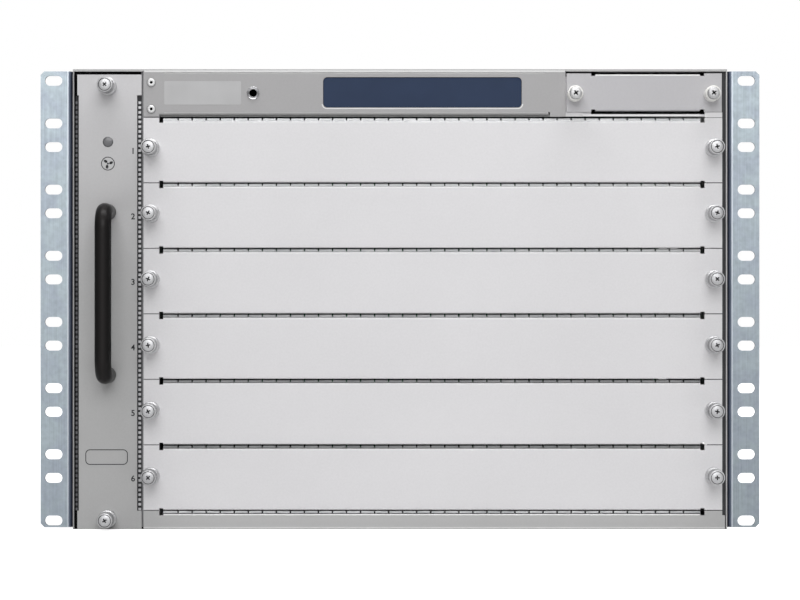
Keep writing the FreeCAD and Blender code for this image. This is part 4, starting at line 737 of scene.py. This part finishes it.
def scatter_tree(name):
    """Geometry nodes that put a shape on each point, each turned about Y by its own seeded angle."""
    tree = bpy.data.node_groups.new(name, "GeometryNodeTree")
    inputs = {
        "Points": "Geometry", "Shape": "Object", "Smallest turn": "Float", "Largest turn": "Float",
        "Seed": "Int", "Finish": "Material",
    }
    for label, kind in inputs.items():
        tree.interface.new_socket(label, in_out="INPUT", socket_type=f"NodeSocket{kind}")
    tree.interface.new_socket("Pieces", in_out="OUTPUT", socket_type="NodeSocketGeometry")
    given = node(tree, "NodeGroupInput").outputs
    shape = node(tree, "GeometryNodeObjectInfo", Object=given["Shape"]).outputs["Geometry"]
    turn = node(
        tree, "FunctionNodeRandomValue",
        {2: given["Smallest turn"], 3: given["Largest turn"], 8: given["Seed"]}, data_type="FLOAT",
    )
    angle = node(tree, "CombineXYZ", Y=turn)
    points = node(tree, "GeometryNodeMeshToPoints", Mesh=given["Points"])
    spread = node(tree, "GeometryNodeInstanceOnPoints", Points=points, Instance=shape, Rotation=angle)
    real = node(tree, "GeometryNodeRealizeInstances", Geometry=spread)
    painted = node(tree, "GeometryNodeSetMaterial", Geometry=real, Material=given["Finish"])
    node(tree, "NodeGroupOutput", Pieces=painted)
    return tree


def set_out(shape, stead, name, body, places, steel, spots, turns=(0.0, 0.0), seed=0):
    """Puts a turned shape at each place in the stead of a CAD node; spots are as finish_spots takes them."""
    tree = bpy.data.node_groups.get("turned_pieces") or scatter_tree("turned_pieces")
    least, most = turns
    values = {"Shape": shape, "Smallest turn": least, "Largest turn": most, "Seed": seed, "Finish": steel}
    points = bpy.data.meshes.new(stead)
    points.from_pydata(places, [], [])
    carrier = linked(stead + "_places", points)
    modifier = carrier.modifiers.new("scatter", "NODES")
    modifier.node_group = tree
    for item in tree.interface.items_tree:
        if item.name in values:
            modifier[item.identifier] = values[item.name]
    made = plain_mesh(carrier)
    bpy.data.objects.remove(carrier)
    made.materials.clear()
    made.materials.append(steel)
    made.shade_smooth()
    made.set_sharp_from_angle(angle=math.radians(35))
    finish_spots(made, places, spots)
    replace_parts(new_piece(name, made, body), stead)


def end_places(name, radius, y):
    """The middles of two round pieces that stand at the ends of a CAD node's box."""
    low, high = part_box(name)
    middle = (low + high) / 2
    if high.x - low.x > high.z - low.z:
        return [(low.x + radius, y, middle.z), (high.x - radius, y, middle.z)]
    return [(middle.x, y, low.z + radius), (middle.x, y, high.z - radius)]


class ROUTER_OT_captive_screws(bpy.types.Operator):
    """Turns the knurled captive screws of the slot covers and of the fan tray"""

    bl_idname = "router.captive_screws"
    bl_label = "Captive screws"

    def execute(self, context):
        sizes = context.scene.router_sizes
        ferrule, sleeve, neck = sizes.ferrule_radius, sizes.ferrule_height, sizes.neck_radius
        head, front = sizes.head_radius, sizes.head_height
        neck_top = sleeve + 1.2 * MM
        knurl_start, knurl_end = neck_top + 0.8 * MM, front - 1.6 * MM
        disc, groove, groove_depth = head * 0.76, 0.5 * MM, 1.1 * MM
        edge, chamfer, slope = 0.3 * MM, 0.5 * MM, 0.05 * MM
        # the head's front edge: how far below the front and how far in, in millimetres
        crown_edge = ((1.3, 0), (0.7, 0), (0.15, 0.35), (0, 0.8))
        profile = [
            (0, ferrule - edge), (edge, ferrule), (sleeve - 0.6 * MM, ferrule), (sleeve, ferrule - 0.7 * MM),
            (sleeve, neck), (neck_top, neck), (neck_top, head - chamfer), (neck_top + chamfer, head),
            (knurl_start, head), (knurl_end, head),
            *((front - below * MM, head - inwards * MM) for below, inwards in crown_edge),
            (front, disc + groove), (front - groove_depth, disc + groove - slope),
            (front - groove_depth, disc + slope), (front - 0.25 * MM, disc),
            (front - slope, disc - edge), (front - slope, disc * 0.12),
        ]
        turned = lathe(profile, sizes.knurl_teeth * 2, (knurl_start, knurl_end), sizes.knurl_depth)
        cutter = cross_cutter(sizes.cross_length / 2, sizes.cross_width / 2, sizes.cross_depth, front)
        shape = recessed("captive_screw_shape", turned, cutter)
        steel = turned_metal("nickel_plated_screw", "E2E2E3", "C4C4C6")
        # painted shade: the knurled side, the groove and the cross are drawn darker
        knurl = turned_metal("nickel_knurl_painted_shade", "C2C2C4", "8A8A8C")
        faced = turned_metal("faced_nickel", "DCDCDE", "C4C4C6")
        groove_shade = moulded_plastic("groove_painted_shade", "5C5C5E", 0.7, shine=0.2)
        cross_shade = moulded_plastic("cross_painted_shade", "3E3E40", 0.7, shine=0.2)
        crown, waist, skim = FACE_Y - front, FACE_Y - neck_top, 0.1 * MM
        sunk = crown + 0.3 * MM
        spots = (
            (faced, 0, disc * 0.97, crown - skim, sunk),
            (knurl, head * 0.9, head * 1.05, crown + 0.9 * MM, waist + skim),
            (groove_shade, disc * 0.97, disc + groove * 0.98, sunk, waist),
            (cross_shade, 0, disc * 0.9, sunk, waist),
        )
        groups = {f"slot_screws_{number}": f"slot_blank_{number}" for number in SLOTS}
        groups["fan_tray_screws"] = "fan_tray"
        for seed, (name, body) in enumerate(groups.items()):
            set_out(
                shape, name, f"captive_{name}", body, end_places(name, ferrule, FACE_Y),
                steel, spots, turns=(0.0, math.pi / 2), seed=seed,
            )
        bpy.data.objects.remove(shape)
        return {"FINISHED"}


class ROUTER_OT_pan_screws(bpy.types.Operator):
    """Turns the pan-head screws that stand on the sleeves of the sensor module"""

    bl_idname = "router.pan_screws"
    bl_label = "Pan-head screws"

    def execute(self, context):
        sizes = context.scene.router_sizes
        low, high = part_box("sensor_screws")
        radius, shank, dome = (high.z - low.z) / 2, sizes.shank_radius, sizes.pan_dome
        crown = FACE_Y - low.y
        seat = FACE_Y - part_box("sensor_sleeves")[0].y
        rim = crown - dome
        # the dome is fuller than a half circle: its radius falls by this power of the cosine
        fullness, dome_rows, dome_step = 0.4, 7, math.radians(12)
        profile = [(FACE_Y - high.y, shank), (seat, shank), (seat, radius), (rim, radius)]
        profile += [
            (rim + dome * math.sin(turn), radius * math.cos(turn) ** fullness)
            for turn in (dome_step * row for row in range(1, dome_rows + 1))
        ]
        half, arm = sizes.pan_cross_length / 2, sizes.pan_cross_width / 2
        cutter = cross_cutter(half, arm, sizes.cross_depth, crown)
        shape = recessed("pan_screw_shape", lathe(profile), cutter)
        steel = turned_metal("zinc_plated_pan_head", "DCDCDC", "C6C6C8")
        # painted shade: the head's side and its cross are drawn darker
        side = turned_metal("pan_side_painted_shade", "8E8E90", "747476")
        pan_recess_shade = moulded_plastic("pan_recess_painted_shade", "0E0E0F", 0.7, shine=0.1)
        skim = 0.1 * MM
        spots = (
            (side, radius * 0.97, radius * 1.05, FACE_Y - rim - skim, FACE_Y - seat + skim),
            (pan_recess_shade, 0, sizes.pan_cross_length * 0.55, low.y + dome * 0.5, FACE_Y - seat),
        )
        set_out(
            shape, "sensor_screws", "pan_sensor_screws", "sensor_module",
            end_places("sensor_screws", radius, FACE_Y), steel, spots, turns=(0.7, 0.95), seed=3,
        )
        bpy.data.objects.remove(shape)
        return {"FINISHED"}


class ROUTER_OT_rivets(bpy.types.Operator):
    """Turns the hollow rivets of the bezel and the strap socket's countersunk lip"""

    bl_idname = "router.rivets"
    bl_label = "Rivets and strap socket"

    def execute(self, context):
        sizes = context.scene.router_sizes
        front = BEZEL_LOW.y
        rivet = turned_metal("nickel_plated_rivet", "E4E4E4", "D4D4D5", roughness=0.55, across=0.6)
        brass = turned_metal("nickel_plated_brass", "D2D2D4", "B4B4B6", roughness=0.28, across=0.6)
        # painted shade: the bores are drawn black, and a grey ring lies round each rivet's rim
        dark = moulded_plastic("bore_painted_shade", "060606", 0.8, shine=0.05)
        rim_shade = moulded_plastic("rivet_rim_painted_shade", "8A8A8A", 0.7, shine=0.2)
        low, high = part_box("bezel_rivets")
        radius, head, end, bore = (high.x - low.x) / 2, front - low.y, front - high.y, sizes.rivet_bore
        shank, flare, floor = bore + 0.7 * MM, bore + 0.1 * MM, end + 0.4 * MM
        # the head's rounded top, as shares of its height and its radius
        dome = ((0.3, 1), (0.6, 0.86), (0.9, 0.74), (1, 0.52))
        shape = linked("rivet_shape", lathe([
            (end, shank), (0, shank), (0, radius),
            *((head * rise, radius * reach) for rise, reach in dome),
            (head * 0.9, flare), (head * 0.5, bore), (floor, bore),
        ]))
        spots = (
            (dark, 0, bore * 1.02, low.y + head * 0.3, 0),
            (rim_shade, radius * 0.9, radius * 1.1, low.y, front),
        )
        set_out(
            shape, "bezel_rivets", "hollow_bezel_rivets", "chassis",
            end_places("bezel_rivets", radius, front), rivet, spots,
        )
        bpy.data.objects.remove(shape)
        low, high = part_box("wrist_strap_socket")
        middle = (low + high) / 2
        radius, lip, end, bore = (high.x - low.x) / 2, front - low.y, front - high.y, sizes.socket_bore
        stem, groove_floor, sunk, floor = radius * 0.8, 0.15 * MM, -0.3 * MM, end + 2 * MM
        # a ring inside the groove, as shares of the lip's height and its radius
        ring = ((0.6, 0.75), (0.75, 0.69), (0.6, 0.62))
        shape = linked("socket_shape", lathe([
            (end, stem), (0, stem), (0, radius), (lip * 0.9, radius), (lip, radius * 0.97),
            (groove_floor, radius * 0.79), *((lip * rise, radius * reach) for rise, reach in ring),
            (sunk, bore), (floor, bore),
        ]))
        set_out(
            shape, "wrist_strap_socket", "countersunk_strap_socket", "chassis",
            [(middle.x, front, middle.z)], brass, ((dark, 0, bore * 1.02, front + 0.5 * MM, 0),),
        )
        bpy.data.objects.remove(shape)
        return {"FINISHED"}


class ROUTER_OT_printing(bpy.types.Operator):
    """Prints the slot numbers, the fan sign and the empty outline on the fan tray"""

    bl_idname = "router.printing"
    bl_label = "Printing"

    def execute(self, context):
        sizes = context.scene.router_sizes
        ink = moulded_plastic("screen_ink", context.scene.router_colours.ink, 0.6)
        front, thick = TRAY_LOW.y, sizes.ink_thickness
        new_piece("slot_numbers", self.numbers(sizes, front, thick), "fan_tray", ink)
        # fan sign under the status lens
        low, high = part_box("fan_status_lens")
        x, z = (low.x + high.x) / 2, low.z - sizes.sign_drop
        sign = self.fan_sign(x, z, sizes.sign_radius, sizes.print_line)
        flat_piece("fan_sign", sign, thick, front, ink, "fan_tray")
        # empty rounded outline near the foot
        left, right = TRAY_LOW.x + sizes.print_left, TRAY_LOW.x + sizes.print_right
        foot, head, line, corner = sizes.print_foot, sizes.print_head, sizes.print_line, sizes.print_corner
        outline = band(
            rounded(left, right, foot, head, corner),
            rounded(left + line, right - line, foot + line, head - line, corner - line),
        )
        flat_piece("print_outline", outline, thick, front, ink, "fan_tray")
        return {"FINISHED"}

    @staticmethod
    def numbers(sizes, front, thick):
        """The slot numbers, each beside its cover's screws, as one mesh."""
        digits = bmesh.new()
        figure_share = 0.7
        for number in SLOTS:
            low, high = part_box(f"slot_screws_{number}")
            text = bpy.data.curves.new(f"digit_{number}", "FONT")
            text.body = str(number)
            text.size = sizes.number_height / figure_share
            text.align_x = "CENTER"
            text.align_y = "CENTER"
            text.extrude = thick / 2
            text.offset = sizes.number_weight
            carrier = linked(f"digit_{number}", text)
            glyph = plain_mesh(carrier)
            bpy.data.objects.remove(carrier)
            height = (low.z + high.z) / 2 - sizes.number_drop
            spot = Vector((TRAY_HIGH.x - sizes.number_inset, front - thick / 2, height))
            glyph.transform(Matrix.Translation(spot) @ Matrix.Rotation(math.pi / 2, 4, "X"))
            digits.from_mesh(glyph)
            bpy.data.meshes.remove(glyph)
        return as_mesh(digits, "slot_numbers", closed=False)

    @staticmethod
    def fan_sign(x, z, radius, line):
        """Outlines of a ring with a hub and three swept leaves, sized as shares of its radius."""
        outlines = band(circle(x, z, radius, 48), circle(x, z, radius - line, 48))
        outlines.append(circle(x, z, radius * 0.14, 24))
        reach, half_length, half_width, sweep = radius * 0.47, radius * 0.29, radius * 0.2, 0.66 / radius
        blades, first_turn, leaf_steps = 3, 15, 28
        for blade in range(blades):
            turn = math.radians(360 / blades * blade + first_turn)
            cosine, sine = math.cos(turn), math.sin(turn)
            leaf = []
            for along, side in circle(0, 0, 1, leaf_steps):
                along *= half_length
                swept = side * half_width + sweep * along * abs(along)
                out = reach + along
                leaf.append((x + out * cosine - swept * sine, z + out * sine + swept * cosine))
            outlines.append(leaf)
        return outlines


class ROUTER_OT_label_film(bpy.types.Operator):
    """Lays the bare label film on the bezel"""

    bl_idname = "router.label_film"
    bl_label = "Label film"

    def execute(self, context):
        sizes = context.scene.router_sizes
        film = moulded_plastic("matt_polyester_film", context.scene.router_colours.film, 0.5)
        outline = rounded(
            sizes.film_left, sizes.film_right, sizes.film_foot, sizes.film_head, sizes.film_corner
        )
        flat_piece("label_film", [outline], sizes.film_thickness, BEZEL_LOW.y, film, "chassis")
        return {"FINISHED"}


class ROUTER_OT_stage(bpy.types.Operator):
    """Lays the pale floor and sets the soft lights and the camera"""

    bl_idname = "router.stage"
    bl_label = "Stage"

    def execute(self, context):
        self.floor()
        context.scene.world = self.studio()
        self.lights()
        sizes = context.scene.router_sizes
        sensor = 36
        lens = bpy.data.cameras.new("camera")
        lens.sensor_width = sensor
        lens.lens = sensor * sizes.camera_distance / sizes.view_width
        lens.clip_end = 100
        camera = linked("camera", lens)
        camera.location = (0, FACE_Y - sizes.camera_distance, sizes.camera_height)
        camera.rotation_euler = (math.pi / 2, 0, 0)
        context.scene.camera = camera
        context.scene.view_settings.view_transform = "Standard"
        return {"FINISHED"}

    @staticmethod
    def floor():
        """White paper: matt, and its lift keeps it white to the lens, as in an overlit studio sweep."""
        form = bmesh.new()
        bmesh.ops.create_grid(form, x_segments=8, y_segments=8, size=6)
        floor = linked("floor", as_mesh(form, "floor", closed=False))
        paper = bpy.data.materials.new("white_paper")
        paper.use_nodes = True
        tree = paper.node_tree
        seen = node(tree, "LightPath").outputs["Is Camera Ray"]
        lift = node(tree, "Math", {0: seen, 1: 0.85}, operation="MULTIPLY")
        finished(paper, Base_Color=rgba("CBCBCB"), Roughness=0.9)
        finished(paper, Emission_Color=rgba("FFFFFF"), Emission_Strength=lift)
        floor.data.materials.append(paper)

    @staticmethod
    def studio():
        """A world that lights from above, brighter with height, and looks white to the lens."""
        world = bpy.data.worlds.new("studio")
        world.use_nodes = True
        tree = world.node_tree
        tree.nodes.clear()
        direction = node(tree, "TexCoord").outputs["Generated"]
        height = node(tree, "SeparateXYZ", Vector=direction).outputs["Z"]
        grade = node(
            tree, "MapRange",
            Value=height, From_Min=-0.15, From_Max=0.5, To_Min=0.135, To_Max=0.355,
        )
        soft = node(tree, "Background", Color=rgba("FFFFFF"), Strength=grade)
        white = node(tree, "Background", Color=rgba("FFFFFF"), Strength=1.0)
        seen = node(tree, "LightPath").outputs["Is Camera Ray"]
        both = node(tree, "MixShader", {0: seen, 1: soft, 2: white})
        node(tree, "OutputWorld", Surface=both)
        return world

    @staticmethod
    def lights():
        """Four soft boxes, aimed at the middle of the chassis."""
        target = Vector((0, 0, 0.15))
        # place in metres, watts, width and height in metres
        boxes = {
            "key": ((0, -2.4, 1.1), 20.4, 1.6, 1.1),
            "top": ((0, -0.55, 1.5), 14, 1.4, 0.5),
            "rear": ((0.9, 2.2, 1.6), 26, 1.4, 1.0),
            "side": ((2.4, 0.4, 1.2), 10, 1.2, 1.2),
        }
        for name, (spot, power, wide, tall) in boxes.items():
            lamp = bpy.data.lights.new(name, "AREA")
            lamp.shape = "RECTANGLE"
            lamp.energy, lamp.size, lamp.size_y = power, wide, tall
            holder = linked(name, lamp)
            holder.location = spot
            holder.rotation_euler = (target - Vector(spot)).to_track_quat("-Z", "Y").to_euler()


OPERATORS = (
    ROUTER_OT_shell, ROUTER_OT_front, ROUTER_OT_bezel_strips, ROUTER_OT_metalwork, ROUTER_OT_mouldings,
    ROUTER_OT_supplies, ROUTER_OT_captive_screws, ROUTER_OT_pan_screws, ROUTER_OT_rivets,
    ROUTER_OT_printing, ROUTER_OT_label_film, ROUTER_OT_stage,
)


class ROUTER_PT_panel(bpy.types.Panel):
    bl_label = "Router chassis"
    bl_idname = "ROUTER_PT_panel"
    bl_space_type = "VIEW_3D"
    bl_region_type = "UI"
    bl_category = "Router"

    def draw(self, context):
        for group in (context.scene.router_sizes, context.scene.router_colours):
            for name in group.__annotations__:
                self.layout.prop(group, name)
        for operator in OPERATORS:
            self.layout.operator(operator.bl_idname)


CLASSES = (RouterSizes, RouterColours, *OPERATORS, ROUTER_PT_panel)


def register():
    for entry in CLASSES:
        bpy.utils.register_class(entry)
    bpy.types.Scene.router_sizes = PointerProperty(type=RouterSizes)
    bpy.types.Scene.router_colours = PointerProperty(type=RouterColours)


def unregister():
    del bpy.types.Scene.router_colours
    del bpy.types.Scene.router_sizes
    for entry in reversed(CLASSES):
        bpy.utils.unregister_class(entry)


def main():
    register()
    for operator in OPERATORS:
        group, name = operator.bl_idname.split(".")
        getattr(getattr(bpy.ops, group), name)()


if __name__ == "__main__":
    main()
